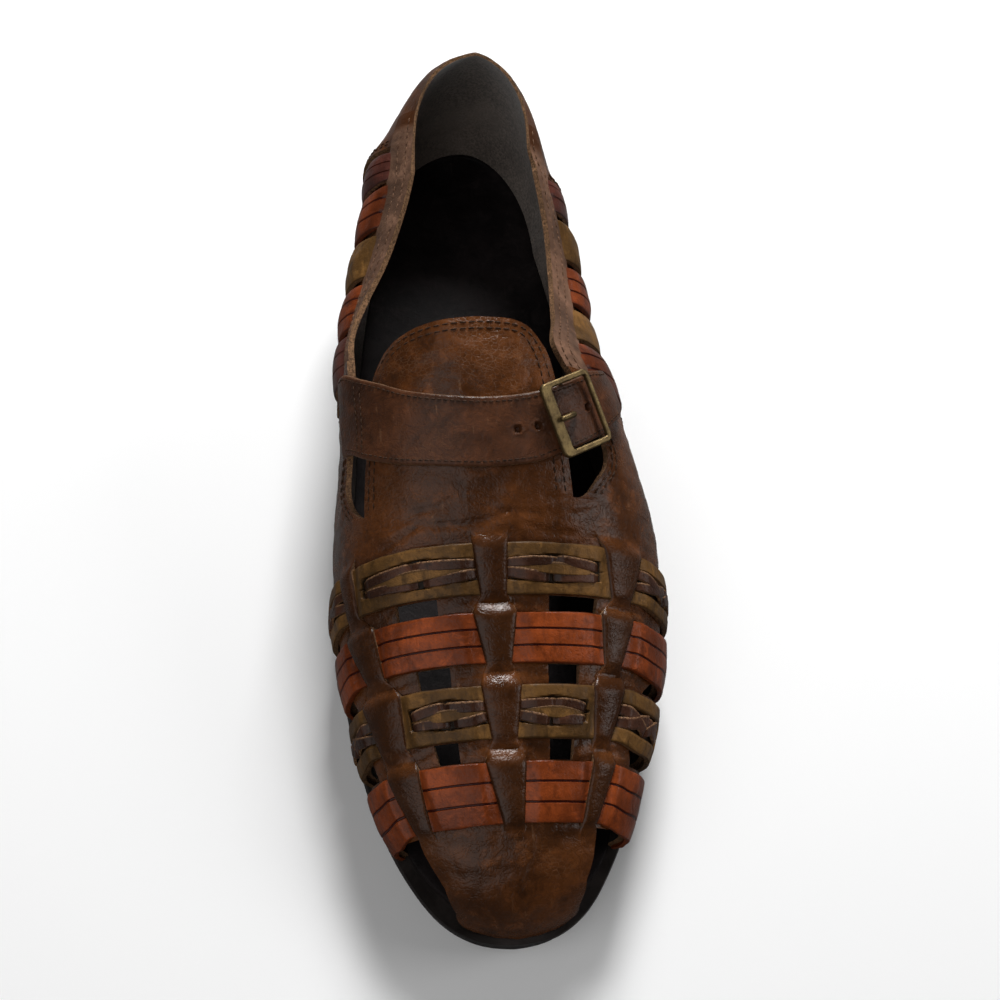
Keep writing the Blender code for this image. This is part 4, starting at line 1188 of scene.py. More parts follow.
def buckle_axes():
    """Middle of the buckle on the strap's outer face, and its three axes."""
    middle = strap_point(BUCKLE_GIRTH, 0.5)
    along = strap_point(BUCKLE_GIRTH + 0.05, 0.5) - strap_point(BUCKLE_GIRTH - 0.05, 0.5)
    along /= np.linalg.norm(along)
    across = strap_point(BUCKLE_GIRTH, 1.0) - strap_point(BUCKLE_GIRTH, 0.0)
    across -= along * np.dot(across, along)
    across /= np.linalg.norm(across)
    out = np.cross(along, across)
    return middle + out * STRAP_THICK, along, across, out


def in_axes(axes, u, v, w):
    middle, along, across, out = axes
    u, v, w = (np.asarray(a, float)[..., None] for a in (u, v, w))
    return middle + along * u + across * v + out * w


def strap_frame(t, share):
    """Points on the strap's inner face and its outward normals."""
    t, share = np.broadcast_arrays(np.asarray(t, float), np.asarray(share, float))
    base = strap_point(t, share)
    along = strap_point(t + 0.004, share) - strap_point(t - 0.004, share)
    across = strap_point(t, share + 0.02) - strap_point(t, share - 0.02)
    out = np.cross(along, across)
    return base, out / np.linalg.norm(out, axis=-1, keepdims=True)


def band_on_strap(name, t, shares, thick, under, finish, node, holes=()):
    """The buckled strap or its tab, as a closed ribbon."""
    width = STRAP_WIDE * (shares[1] - shares[0])
    across, high, dip, edge = strap_profile(width, thick, min(0.9, thick / 2), 0.5)
    share = shares[0] + (shares[1] - shares[0]) * across[None, :] / width + 0.0 * t[:, None]
    t_all = t[:, None] + 0.0 * share
    base, out = strap_frame(t_all, share)
    rise = np.broadcast_to(high, share.shape).copy()
    for girth in holes:
        centre = strap_frame(girth, 0.5)[0]
        away = np.linalg.norm(base - centre, axis=-1)
        dent = 1.7 * (1.0 - ease(away, 0.75, 1.35))
        rise = np.where(rise > thick / 2, rise - dent + 0.25 * np.exp(-((away - 1.7) / 0.5) ** 2), rise)
    points = base + out * (rise - under)[..., None]
    shape = points.shape[:2]
    values = {"dip": np.broadcast_to(dip, shape), "raw": np.broadcast_to(edge, shape)}
    mesh = grid_mesh(name, points, values, merge=0.004)
    closed(mesh)
    return new_piece(name, mesh, (finish,), (node,))


def make_strap():
    t = spread((STRAP_TABLE["t"][0], 0.46, STRAP_TABLE["t"][-1]), 0.0065)
    band_on_strap("buckled_strap", t, (0.0, 1.0), STRAP_THICK, 0.0, make_finish("strap"),
                  "monk_strap", HOLES)
    band_on_strap("strap_tab", spread(TAB_GIRTH, 0.01), (0.18, 0.82), TAB_THICK,
                  TAB_THICK + GAP, make_finish("strap"), "buckle_tab")


def tube(name, route, radii, sides=12):
    """A closed round bar along a route, its ends drawn together."""
    route, radii = np.asarray(route, float), np.asarray(radii, float)
    way = np.gradient(route, axis=0)
    way /= np.linalg.norm(way, axis=1, keepdims=True)
    side = np.cross(way, (0.3, 0.9, 0.2))
    side /= np.linalg.norm(side, axis=1, keepdims=True)
    over = np.cross(way, side)
    turn = np.linspace(0, 2 * np.pi, sides + 1)
    ring = (side[:, None] * np.cos(turn)[:, None] + over[:, None] * np.sin(turn)[:, None])
    points = route[:, None] + ring * radii[:, None, None]
    mesh = grid_mesh(name, points, {}, merge=0.001)
    closed(mesh, 1.0)
    return mesh


def round_rectangle(u_low, u_high, v_half, radius, corner_steps=7):
    """Points around a rectangle with round corners."""
    points = []
    for k, (u, v) in enumerate(((u_high, v_half), (u_low, v_half), (u_low, -v_half),
                                (u_high, -v_half))):
        hand_u, hand_v = (1.0 if k in (0, 3) else -1.0), (1.0 if k in (0, 1) else -1.0)
        for turn in np.linspace(k * np.pi / 2, (k + 1) * np.pi / 2, corner_steps + 1):
            points.append((u - hand_u * radius + radius * np.cos(turn),
                           v - hand_v * radius + radius * np.sin(turn)))
    return np.array(points + points[:1])


def make_buckle():
    axes = buckle_axes()
    u, v = BUCKLE_WIDE / 2, BUCKLE_LONG / 2
    low, high = BUCKLE_RISE, BUCKLE_RISE + BUCKLE_THICK
    bars = BUCKLE_BARS
    levels = ((0.25, low), (0.0, low + 0.3), (0.0, high - 0.5), (0.12, high - 0.2), (0.45, high))
    loops = []
    for inset, w in levels:
        loops.append((round_rectangle(-u + inset, u - inset, v - inset, BUCKLE_CORNER - inset), w))
    for inset, w in levels[::-1]:
        loops.append((round_rectangle(-u + bars["front"] - inset, u - bars["rear"] + inset,
                                      v - bars["side"] + inset, BUCKLE_CORNER / 3 + inset), w))
    loops.append(loops[0])
    points = np.stack([in_axes(axes, loop[:, 0], loop[:, 1], np.full(len(loop), w))
                       for loop, w in loops])
    frame_mesh = grid_mesh("buckle", points, {}, merge=0.001)
    bm = bmesh.new()
    bm.from_mesh(frame_mesh)
    bmesh.ops.recalc_face_normals(bm, faces=bm.faces)
    bm.to_mesh(frame_mesh)
    bm.free()
    bar, under, reach = bars["middle"], -STRAP_THICK - 2 * GAP, v - 1.1
    corner = [(-reach, low + 0.8), (-reach, under + 0.2), (-reach + 0.6, under - bar / 2),
              (reach - 0.6, under - bar / 2), (reach, under + 0.2), (reach, low + 0.8)]
    route = np.concatenate([np.linspace(a, b, 7)[:-1] for a, b in zip(corner[:-1], corner[1:])]
                           + [corner[-1:]])
    stirrup = tube("stirrup", in_axes(axes, np.zeros(len(route)), route[:, 0], route[:, 1]),
                   np.full(len(route), bar / 2))
    mesh = joined("buckle_ring", [frame_mesh, stirrup], merge=0.0001)
    smooth(mesh, 0.5)
    new_piece("buckle_ring", mesh, (make_finish("antique_brass"),), ("buckle_frame",))
    top = high + GAP + PRONG
    corner = np.array([(0.0, -STRAP_THICK - GAP + 0.2 + PRONG), (-0.2, 0.2), (-1.6, top - 0.9),
                       (-3.6, top), (-u + 2.4, top - 0.1)])
    at = np.linspace(0, 4, 33)
    route = np.stack([np.interp(at, range(5), corner[:, 0]), np.interp(at, range(5), corner[:, 1])], 1)
    for _ in range(3):
        route[1:-1] = (route[:-2] + 2 * route[1:-1] + route[2:]) / 4
    radii = PRONG * np.interp(at, (0, 3, 3.9, 4), (1.0, 1.0, 0.92, 0.6))
    mesh = tube("prong_pin", in_axes(axes, route[:, 0], np.zeros(len(at)), route[:, 1]), radii)
    new_piece("prong_pin", mesh, (make_finish("antique_brass"),), ("buckle_prong",))


# ---------------------------------------------------------------- seams
def surface_line(point, s, t, height):
    """A line of stitch places on a surface, with its outward directions."""
    out = outward(point, s, t)
    return point(s, t) + out * height, out


def below_top(s, side, down):
    """Girths at a distance in millimetres below the topline."""
    hand = SIDES[side]
    top = hand * collar(s, side)
    for _ in range(2):
        t = top + hand * 0.01
        stretch = np.linalg.norm(wall_point(s, t) - wall_point(s, top), axis=-1) / 0.01
    return top + hand * down / stretch


def tongue_edge(inset):
    """Stations and girths of a line inside the tongue's edge."""
    q = np.sin(np.linspace(-np.pi / 2, np.pi / 2, 120))
    s = tongue_end(q)
    medial, lateral = seam(SLOT_START, "panel_medial"), seam(SLOT_START, "panel_lateral")
    t = np.where(q < 0, medial, lateral) * q
    down = np.linspace(SLOT_START + 1.0, TONGUE_SIDE, 40)[:-1]
    s = np.concatenate([down, s, down[::-1]])
    t = np.concatenate([np.full(39, -medial), t, np.full(39, lateral)])
    line = np.stack([t * 76.0, s], 1)
    way = np.gradient(line, axis=0)
    way /= np.maximum(np.linalg.norm(way, axis=1, keepdims=True), 1e-9)
    inside = line + np.stack([way[:, 1], -way[:, 0]], 1) * inset
    return inside[:, 1], inside[:, 0] / 76.0


def make_seams():
    """The sewn rows of the tongue, the topline, the wings and the counter."""
    lines = []
    for inset in (1.7, 3.7):
        s, t = tongue_edge(inset)
        lines.append(surface_line(last_point, s, t, VAMP_HIGH))
    collar_lines = []
    for side in SIDES:
        first, front = QUARTER_STRAPS[side][0][0], COUNTER_FRONT[side]
        s = np.linspace(SLOT_START + 2.0, 14.0, 60)
        for down in (1.8, 3.8):
            lines.append(surface_line(wall_point, s, below_top(s, side, down), VAMP_HIGH))
        s = np.linspace(14.0, HEEL_AXIS + 42.0, 240)
        high = BAND_HIGH - (BAND_HIGH - HEEL_RIM) * ease(s, 100.0, 132.0) * 0.75 - 0.1
        collar_lines.append(surface_line(wall_point, s, below_top(s, side, 2.6), high[:, None]))
        s = np.linspace(first + 2.0, front - 1.0, 200)
        collar_lines.append(surface_line(wall_point, s, below_top(s, side, 6.6), BAND_HIGH))
        for place in (first - 1.2, first - 3.2):
            s = np.full(60, place)
            t = down_wall(s, side, np.linspace(0.16, 0.96, 60))
            lines.append(surface_line(wall_point, s, t, VAMP_HIGH + 0.5))
        for place in (front + 2.2, front + 4.2):
            s = np.full(60, place)
            share = np.linspace(0.22, 0.93, 60)
            high = counter_high(share, place - front)[:, None]
            lines.append(surface_line(wall_point, s, down_wall(s, side, share), high))
    stitch_piece("stitches_vamp", lines, make_finish("thread_dark"), mm("vamp_stitch"))
    stitch_piece("stitches_topline", collar_lines, make_finish("thread"), mm("topline_stitch"))
    lines = []
    for edge in (1.7, -1.7):
        t = np.linspace(STRAP_TABLE["t"][0] + 0.02, 0.44, 160)
        wide = np.linalg.norm(strap_frame(t, 1.0)[0] - strap_frame(t, 0.0)[0], axis=1)
        share = edge / wide if edge > 0 else 1.0 + edge / wide
        base, out = strap_frame(t, share)
        lines.append((base + out * STRAP_THICK, out))
    for girth in (-0.468, -0.442):
        base, out = strap_frame(np.full(40, girth), np.linspace(0.1, 0.9, 40))
        lines.append((base + out * STRAP_THICK, out))
    stitch_piece("stitches_strap", lines, make_finish("thread_dark"), mm("strap_stitch"))


# ---------------------------------------------------------------- finishes
class Shade:
    """The nodes of one finish, on a piece's own coordinates in metres."""

    def __init__(self, name, level=0.5, metallic=0.0, sheen=0.0):
        self.material = bpy.data.materials.new(name)
        self.material.use_nodes = True
        self.nodes = self.material.node_tree.nodes
        self.links = self.material.node_tree.links
        self.shader = self.nodes["Principled BSDF"]
        self.shader.inputs["Specular IOR Level"].default_value = level
        self.shader.inputs["Metallic"].default_value = metallic
        self.shader.inputs["Sheen Weight"].default_value = sheen
        self.place = self.nodes.new("ShaderNodeTexCoord").outputs["Object"]

    def fill(self, socket, value):
        if isinstance(value, bpy.types.NodeSocket):
            self.links.new(value, socket)
        elif socket.type == "RGBA":
            socket.default_value = (*tuple(value)[:3], 1.0)
        else:
            socket.default_value = value

    def noise(self, scale, detail=4.0, rough=0.55, warp=0.0, place=None):
        node = self.nodes.new("ShaderNodeTexNoise")
        for name, value in (("Vector", place or self.place), ("Scale", scale),
                            ("Detail", detail), ("Roughness", rough), ("Distortion", warp)):
            self.fill(node.inputs[name], value)
        return node.outputs[0]

    def cells(self, scale, feature="F1", place=None):
        node = self.nodes.new("ShaderNodeTexVoronoi")
        node.feature = feature
        self.fill(node.inputs["Vector"], place or self.place)
        self.fill(node.inputs["Scale"], scale)
        return node.outputs["Distance"]

    def step(self, value, low, high, start=0.0, end=1.0):
        """start below low, end above high, smooth in between."""
        node = self.nodes.new("ShaderNodeMapRange")
        node.interpolation_type = "SMOOTHSTEP"
        for socket, number in zip(node.inputs, (value, low, high, start, end)):
            self.fill(socket, number)
        return node.outputs["Result"]

    def math(self, way, a, b=0.0):
        node = self.nodes.new("ShaderNodeMath")
        node.operation = way
        self.fill(node.inputs[0], a)
        self.fill(node.inputs[1], b)
        return node.outputs[0]

    def times(self, a, b):
        return self.math("MULTIPLY", a, b)

    def total(self, *terms):
        """Sum of (value, weight) pairs."""
        result = 0.0
        for value, weight in terms:
            result = self.math("ADD", self.times(value, weight), result)
        return result

    def ridge(self, value):
        """1 where a noise crosses its middle, falling away on both sides."""
        away = self.math("ABSOLUTE", self.math("SUBTRACT", value, 0.5))
        return self.step(away, 0.0, 0.11, 1.0, 0.0)

    def blend(self, share, a, b):
        node = self.nodes.new("ShaderNodeMix")
        node.data_type = "RGBA"
        for n, value in ((0, share), (6, a), (7, b)):
            self.fill(node.inputs[n], value)
        return node.outputs[2]

    def mark(self, name):
        node = self.nodes.new("ShaderNodeAttribute")
        node.attribute_name = name
        return node.outputs["Fac"]

    def stretched(self, size, turn=(0.0, 0.0, 0.0)):
        node = self.nodes.new("ShaderNodeMapping")
        self.fill(node.inputs["Vector"], self.place)
        node.inputs["Scale"].default_value = size
        node.inputs["Rotation"].default_value = turn
        return node.outputs["Vector"]

    def finish(self, color, rough, height):
        """Joins colour, roughness and relief in millimetres to the shader."""
        bump = self.nodes.new("ShaderNodeBump")
        bump.inputs["Distance"].default_value = MM
        self.fill(bump.inputs["Height"], height)
        self.links.new(bump.outputs["Normal"], self.shader.inputs["Normal"])
        self.fill(self.shader.inputs["Base Color"], color)
        self.fill(self.shader.inputs["Roughness"], rough)
        return self.material


def tint(color, share):
    return tuple(share * c for c in tuple(color)[:3])


def leather(name, color, worn, level=0.3, rough=0.42, grain=1.0, crazing=0.6, folds=1.0,
            cut=None, groove=None, streaks=0.0, burnish=0.75, bare_from=0.55):
    """Dyed leather: clouded colour, pores, fine folds, crazing, scratches and rubbed places."""
    shade = Shade(name, level)
    cloud = shade.noise(42, 5, 0.6)
    rub = shade.noise(150, 6, 0.66, 0.5)
    pore = shade.cells(1050)
    fold = shade.ridge(shade.noise(330, 3, 0.5, 0.8))
    net = shade.cells(1.0, "DISTANCE_TO_EDGE", shade.stretched((520, 760, 640), (0.0, 0.0, 0.5)))
    net = shade.total((net, 1.0), (shade.noise(800, 2), 0.22), (1.0, -0.11))
    patch = shade.step(shade.noise(36, 3), 0.46, 0.66)
    craze = shade.times(shade.times(shade.step(net, 0.0, 0.08, 1.0, 0.0), patch), crazing)
    scratch = shade.noise(1.0, 2, 0.5, 0.0, shade.stretched((900, 45, 300), (0.2, 0.1, 0.5)))
    scratch = shade.times(shade.step(scratch, 0.665, 0.70), shade.step(rub, 0.45, 0.6))
    dark, pale = tint(color, 0.34), tint(color, 1.9)
    tone = shade.blend(shade.step(cloud, 0.36, 0.64), tint(color, 0.55), tint(color, 1.3))
    tone = shade.blend(shade.times(shade.step(rub, 0.50, 0.72), 0.7), tone, pale)
    tone = shade.blend(shade.times(shade.step(rub, 0.28, 0.46, 1.0, 0.0), 0.75), tone, dark)
    if streaks:
        band = shade.noise(1.0, 3, 0.6, 0.3, shade.stretched((420, 90, 420)))
        tone = shade.blend(shade.times(shade.step(band, 0.45, 0.72), streaks), tone, dark)
    tone = shade.blend(shade.times(shade.step(pore, 0.0, 0.30, 1.0, 0.0), 0.35), tone, dark)
    tone = shade.blend(shade.times(fold, 0.22 * folds), tone, dark)
    tone = shade.blend(shade.times(craze, 0.30), tone, worn)
    tone = shade.blend(shade.times(scratch, 0.30), tone, worn)
    edge = shade.mark("raw")
    tone = shade.blend(shade.step(edge, 0.05, 0.55, 0.0, burnish), tone, tint(color, 0.30))
    if cut:
        fibre = shade.noise(1300, 4, 0.7)
        bare = shade.times(shade.step(edge, bare_from, 0.9), shade.step(fibre, 0.35, 0.6))
        tone = shade.blend(bare, tone, cut)
    # the dip mark's colour: the orange straps' grooves, the vamp's strips over the rows, the band
    # towards the heel, and painted shade in the olive straps' slits
    if groove:
        tone = shade.blend(shade.step(shade.mark("dip"), 0.1, 0.8), tone, groove)
    height = shade.total((shade.step(pore, 0.0, 0.5), 0.040 * grain), (fold, -0.040 * folds),
                         (rub, 0.26 * grain), (shade.noise(900, 3), 0.075 * grain),
                         (cloud, 0.5 * grain), (craze, -0.045))
    gloss = shade.total((rub, 0.30), (shade.step(edge, 0.1, 0.8), 0.25), (craze, 0.2),
                        (cloud, 0.15), (1.0, rough - 0.22))
    return shade.finish(tone, gloss, height)


def fibres(name, color, scale=1400, level=0.2, relief=0.14):
    """Cut leather: loose fibres in three shades."""
    shade = Shade(name, level)
    fine = shade.noise(scale, 5, 0.75)
    cloud = shade.noise(190, 3)
    tone = shade.blend(shade.step(fine, 0.36, 0.66), tint(color, 0.28), tint(color, 1.5))
    tone = shade.blend(shade.times(shade.step(cloud, 0.45, 0.68), 0.6), tone, tint(color, 0.45))
    return shade.finish(tone, 0.85, shade.total((fine, relief), (cloud, 0.15)))


def suede(name, color):
    """Brushed lining: matted nap with darker hollows."""
    shade = Shade(name, 0.15, 0.0, 0.35)
    nap = shade.noise(1100, 5, 0.7)
    mat = shade.noise(140, 4, 0.6, 0.6)
    brushed = shade.noise(26, 3)
    tone = shade.blend(shade.step(nap, 0.32, 0.7), tint(color, 0.45), tint(color, 1.5))
    tone = shade.blend(shade.times(shade.step(mat, 0.42, 0.7), 0.5), tone, tint(color, 0.5))
    tone = shade.blend(shade.times(shade.step(brushed, 0.45, 0.7), 0.5), tone, tint(color, 1.7))
    along = shade.nodes.new("ShaderNodeSeparateXYZ")
    shade.links.new(shade.place, along.inputs[0])
    # towards the front the lining darkens nearly to black: a darker leather there, and painted shade
    # inside the shoe
    front = shade.step(along.outputs["Y"], 0.050, 0.105, 1.0, 0.0)
    tone = shade.blend(shade.times(front, 0.85), tone, tint(color, 0.06))
    shade.fill(shade.shader.inputs["Sheen Weight"],
               shade.step(along.outputs["Y"], 0.050, 0.105, 0.0, 0.35))
    return shade.finish(tone, 0.93, shade.total((nap, 0.10), (mat, 0.25)))


def moulded(name, color, scuff, level=0.35, rough=0.5):
    """Dark sole stock: fine grain, dusty scuffs and polished places."""
    shade = Shade(name, level)
    grain = shade.noise(1900, 3, 0.6)
    wear = shade.noise(70, 5, 0.65, 0.4)
    drag = shade.noise(1.0, 3, 0.6, 0.2, shade.stretched((120, 120, 1500)))
    tone = shade.blend(shade.step(wear, 0.40, 0.72), color, tint(color, 2.2))
    dust = shade.times(shade.step(drag, 0.56, 0.74), shade.step(wear, 0.4, 0.65))
    tone = shade.blend(shade.times(dust, 0.5), tone, scuff)
    gloss = shade.total((wear, 0.35), (dust, 0.2), (1.0, rough - 0.17))
    return shade.finish(tone, gloss, shade.total((grain, 0.05), (wear, 0.12), (dust, -0.04)))


def antique(name, bright, patina):
    """Cast brass under a dark patina, rubbed bright on its high places."""
    shade = Shade(name, 0.5, 0.9)
    cloud = shade.noise(260, 5, 0.65, 0.4)
    spot = shade.noise(1500, 4, 0.7)
    scratch = shade.noise(1.0, 2, 0.5, 0.0, shade.stretched((2600, 260, 900), (0.0, 0.3, 0.4)))
    tone = shade.blend(shade.step(cloud, 0.38, 0.66), patina, bright)
    tone = shade.blend(shade.times(shade.step(spot, 0.52, 0.70), 0.6), tone, tint(patina, 0.4))
    tone = shade.blend(shade.times(shade.step(scratch, 0.64, 0.70), 0.5), tone, tint(bright, 1.5))
    gloss = shade.total((cloud, -0.25), (spot, 0.30), (1.0, 0.40))
    return shade.finish(tone, gloss, shade.total((spot, 0.05), (cloud, 0.10), (scratch, -0.03)))


def thread(name, color):
    """Waxed thread with its twist."""
    shade = Shade(name, 0.10)
    twist = shade.noise(2400, 3, 0.6)
    grime = shade.noise(300, 3)
    tone = shade.blend(shade.step(twist, 0.35, 0.65), tint(color, 0.7), tint(color, 1.3))
    tone = shade.blend(shade.times(shade.step(grime, 0.45, 0.65), 0.7), tone, tint(color, 0.35))
    return shade.finish(tone, 0.7, shade.total((twist, 0.06)))


def paper(name, color):
    """Seamless studio paper."""
    shade = Shade(name, 0.1)
    tone = shade.blend(shade.noise(9, 3), color, tint(color, 0.985))
    seen = shade.nodes.new("ShaderNodeLightPath").outputs["Is Camera Ray"]
    tone = shade.blend(seen, tint(color, FLOOR_BOUNCE), tone)
    away = shade.nodes.new("ShaderNodeVectorMath")
    away.operation = "LENGTH"
    shade.links.new(shade.place, away.inputs[0])
    far = shade.step(away.outputs["Value"], 0.45, 1.6)
    tone = shade.blend(far, tone, (0.0, 0.0, 0.0))
    shade.fill(shade.shader.inputs["Emission Color"], color)
    shade.fill(shade.shader.inputs["Emission Strength"], shade.times(shade.times(far, seen), 0.9))
    return shade.finish(tone, 0.9, shade.total((shade.noise(500, 2), 0.01)))


def make_finish(key):
    """The finish of one name, made from the colours in the sidebar."""
    if key in bpy.data.materials:
        return bpy.data.materials[key]
    hue = bpy.context.scene.sandal_colours
    cut, worn = tuple(hue.raw), tuple(hue.worn)
    makers = {
        "vamp": lambda: leather(key, hue.vamp, worn, 0.24, 0.25, 0.8, crazing=0.7, cut=cut,
                                groove=tint(hue.vamp, 0.30)),
        "counter": lambda: leather(key, tint(hue.vamp, 0.78), worn, 0.20, 0.36, cut=cut),
        "band": lambda: leather(key, hue.band, worn, 0.12, 0.55, 0.8, 0.3, 0.7, cut=cut,
                                groove=tint(hue.vamp, 0.78)),
        "strap": lambda: leather(key, hue.strap, worn, 0.20, 0.34, 1.1, 0.5, cut=cut,
                                 burnish=0.3, bare_from=0.0),
        "orange": lambda: leather(key, hue.orange, tint(hue.orange, 2.2), 0.20, 0.32, 0.8, 0.25, 0.6,
                                  cut=tint(hue.orange, 0.9), groove=tuple(hue.groove), streaks=0.5),
        "russet": lambda: leather(key, hue.russet, tint(hue.russet, 2.0), 0.38, 0.40, 0.8, 0.25,
                                  0.6, cut=cut, streaks=0.4),
        # the olive's dip colour, a tenth of its own, is painted shade in the slits
        "olive": lambda: leather(key, hue.olive, tint(hue.olive, 1.9), 0.16, 0.42, 0.9, 0.3, 0.6,
                                 cut=tint(cut, 0.8), groove=tint(hue.olive, 0.10), streaks=0.8),
        # thongs: pale cut edges, partly a painted highlight along one side
        "thong": lambda: leather(key, hue.thong, worn, 0.20, 0.30, 0.9, 0.2, 0.6,
                                 cut=tint(cut, 1.3), burnish=0.0, bare_from=0.12),
        "raw": lambda: fibres(key, hue.raw),
        "lining": lambda: suede(key, hue.lining),
        "footbed_leather": lambda: leather(key, hue.footbed, tint(hue.footbed, 3.0), 0.10, 0.55,
                                           0.7, 0.3, 0.5),
        "rubber": lambda: moulded(key, hue.rubber, tint(hue.rubber, 5.0)),
        "welt_wax": lambda: moulded(key, hue.welt, tint(hue.welt, 4.0), 0.4, 0.42),
        "antique_brass": lambda: antique(key, hue.brass, hue.patina),
        "thread": lambda: thread(key, hue.thread),
        "thread_dark": lambda: thread(key, tint(hue.thread, 0.34)),
        # the woven straps' orange at two thirds brightness: painted shade on the quarter straps
        "orange_painted_shade": lambda: leather(key, tint(hue.orange, 0.66), hue.orange, 0.26, 0.38, 0.8,
                                       0.25, 0.6, cut=tint(hue.orange, 0.6),
                                       groove=tuple(hue.groove), streaks=0.6),
        "orange_back": lambda: fibres(key, hue.back, 900),
        "olive_back": lambda: fibres(key, tint(hue.raw, 1.2), 900),
        "floor_paper": lambda: paper(key, hue.floor),
    }
    return makers[key]()


# ---------------------------------------------------------------- stage
CAMERA_PLACE = (-0.0673, -0.2427, 0.5148)
CAMERA_DOWN = 62.7            # degrees below the horizon
CAMERA_TURN = 16.4            # degrees to the right of the shoe's length
CAMERA_ROLL = 13.25
CAMERA_LENS = 56.5
FLOOR_BOUNCE = 0.20           # share of the paper's paleness that lights the shoe
LAMPS = (
    ("window", (0.13, 0.91, 0.83), (0.0, -0.03, 0.03), 0.36, 1.6),
    ("fill", (-0.66, -0.60, 1.05), (0.0, -0.03, 0.03), 1.3, 0.55),
    ("side", (0.95, -0.1, 0.7), (0.0, 0.0, 0.03), 0.5, 0.2),
)


def make_floor():
    bpy.ops.mesh.primitive_grid_add(x_subdivisions=4, y_subdivisions=4, size=12.0,
                                    location=(0, 0, -0.0003))
    floor = bpy.context.object
    floor.name = "floor"
    floor.data.transform(floor.matrix_world)
    floor.matrix_world = Matrix.Identity(4)
    floor.data.materials.append(make_finish("floor_paper"))


def make_world(strength):
    """Even white surroundings, brighter near the horizon."""
    world = bpy.data.worlds.new("studio")
    bpy.context.scene.world = world
    world.use_nodes = True
    nodes, links = world.node_tree.nodes, world.node_tree.links
    way = nodes.new("ShaderNodeSeparateXYZ")
    links.new(nodes.new("ShaderNodeTexCoord").outputs["Generated"], way.inputs[0])
    level = nodes.new("ShaderNodeMapRange")
    level.interpolation_type = "SMOOTHSTEP"
    for socket, value in zip(level.inputs, (None, 0.0, 0.14, 0.22, strength)):
        if value is not None:
            socket.default_value = value
    links.new(way.outputs["Z"], level.inputs[0])
    sky = nodes["Background"]
    sky.inputs["Color"].default_value = (1, 1, 1, 1)
    seen = nodes.new("ShaderNodeMix")
    links.new(nodes.new("ShaderNodeLightPath").outputs["Is Camera Ray"], seen.inputs[0])
    links.new(level.outputs["Result"], seen.inputs[2])
    seen.inputs[3].default_value = 0.86
    links.new(seen.outputs[0], sky.inputs["Strength"])


def make_lamps(power):
    for name, place, aim, size, share in LAMPS:
        lamp = bpy.data.lights.new(name, "AREA")
        lamp.shape = "SQUARE"
        lamp.size = size
        lamp.energy = power * share
        item = bpy.data.objects.new(name, lamp)
        bpy.context.scene.collection.objects.link(item)
        item.location = place
        item.rotation_euler = (Vector(aim) - Vector(place)).to_track_quat("-Z", "Y").to_euler()


def make_camera(lens):
    down, turn, roll = np.radians((CAMERA_DOWN, CAMERA_TURN, CAMERA_ROLL))
    ahead = np.array([np.sin(turn) * np.cos(down), np.cos(turn) * np.cos(down), -np.sin(down)])
    right = np.array([np.cos(turn), -np.sin(turn), 0.0])
    up = np.cross(right, ahead)
    right, up = right * np.cos(roll) + up * np.sin(roll), up * np.cos(roll) - right * np.sin(roll)
    data = bpy.data.cameras.new("camera")
    data.lens = lens
    data.clip_start = 0.01
    item = bpy.data.objects.new("camera", data)
    bpy.context.scene.collection.objects.link(item)
    item.matrix_world = Matrix([[right[k], up[k], -ahead[k], CAMERA_PLACE[k]] for k in range(3)]
                               + [[0, 0, 0, 1]])
    bpy.context.scene.camera = item


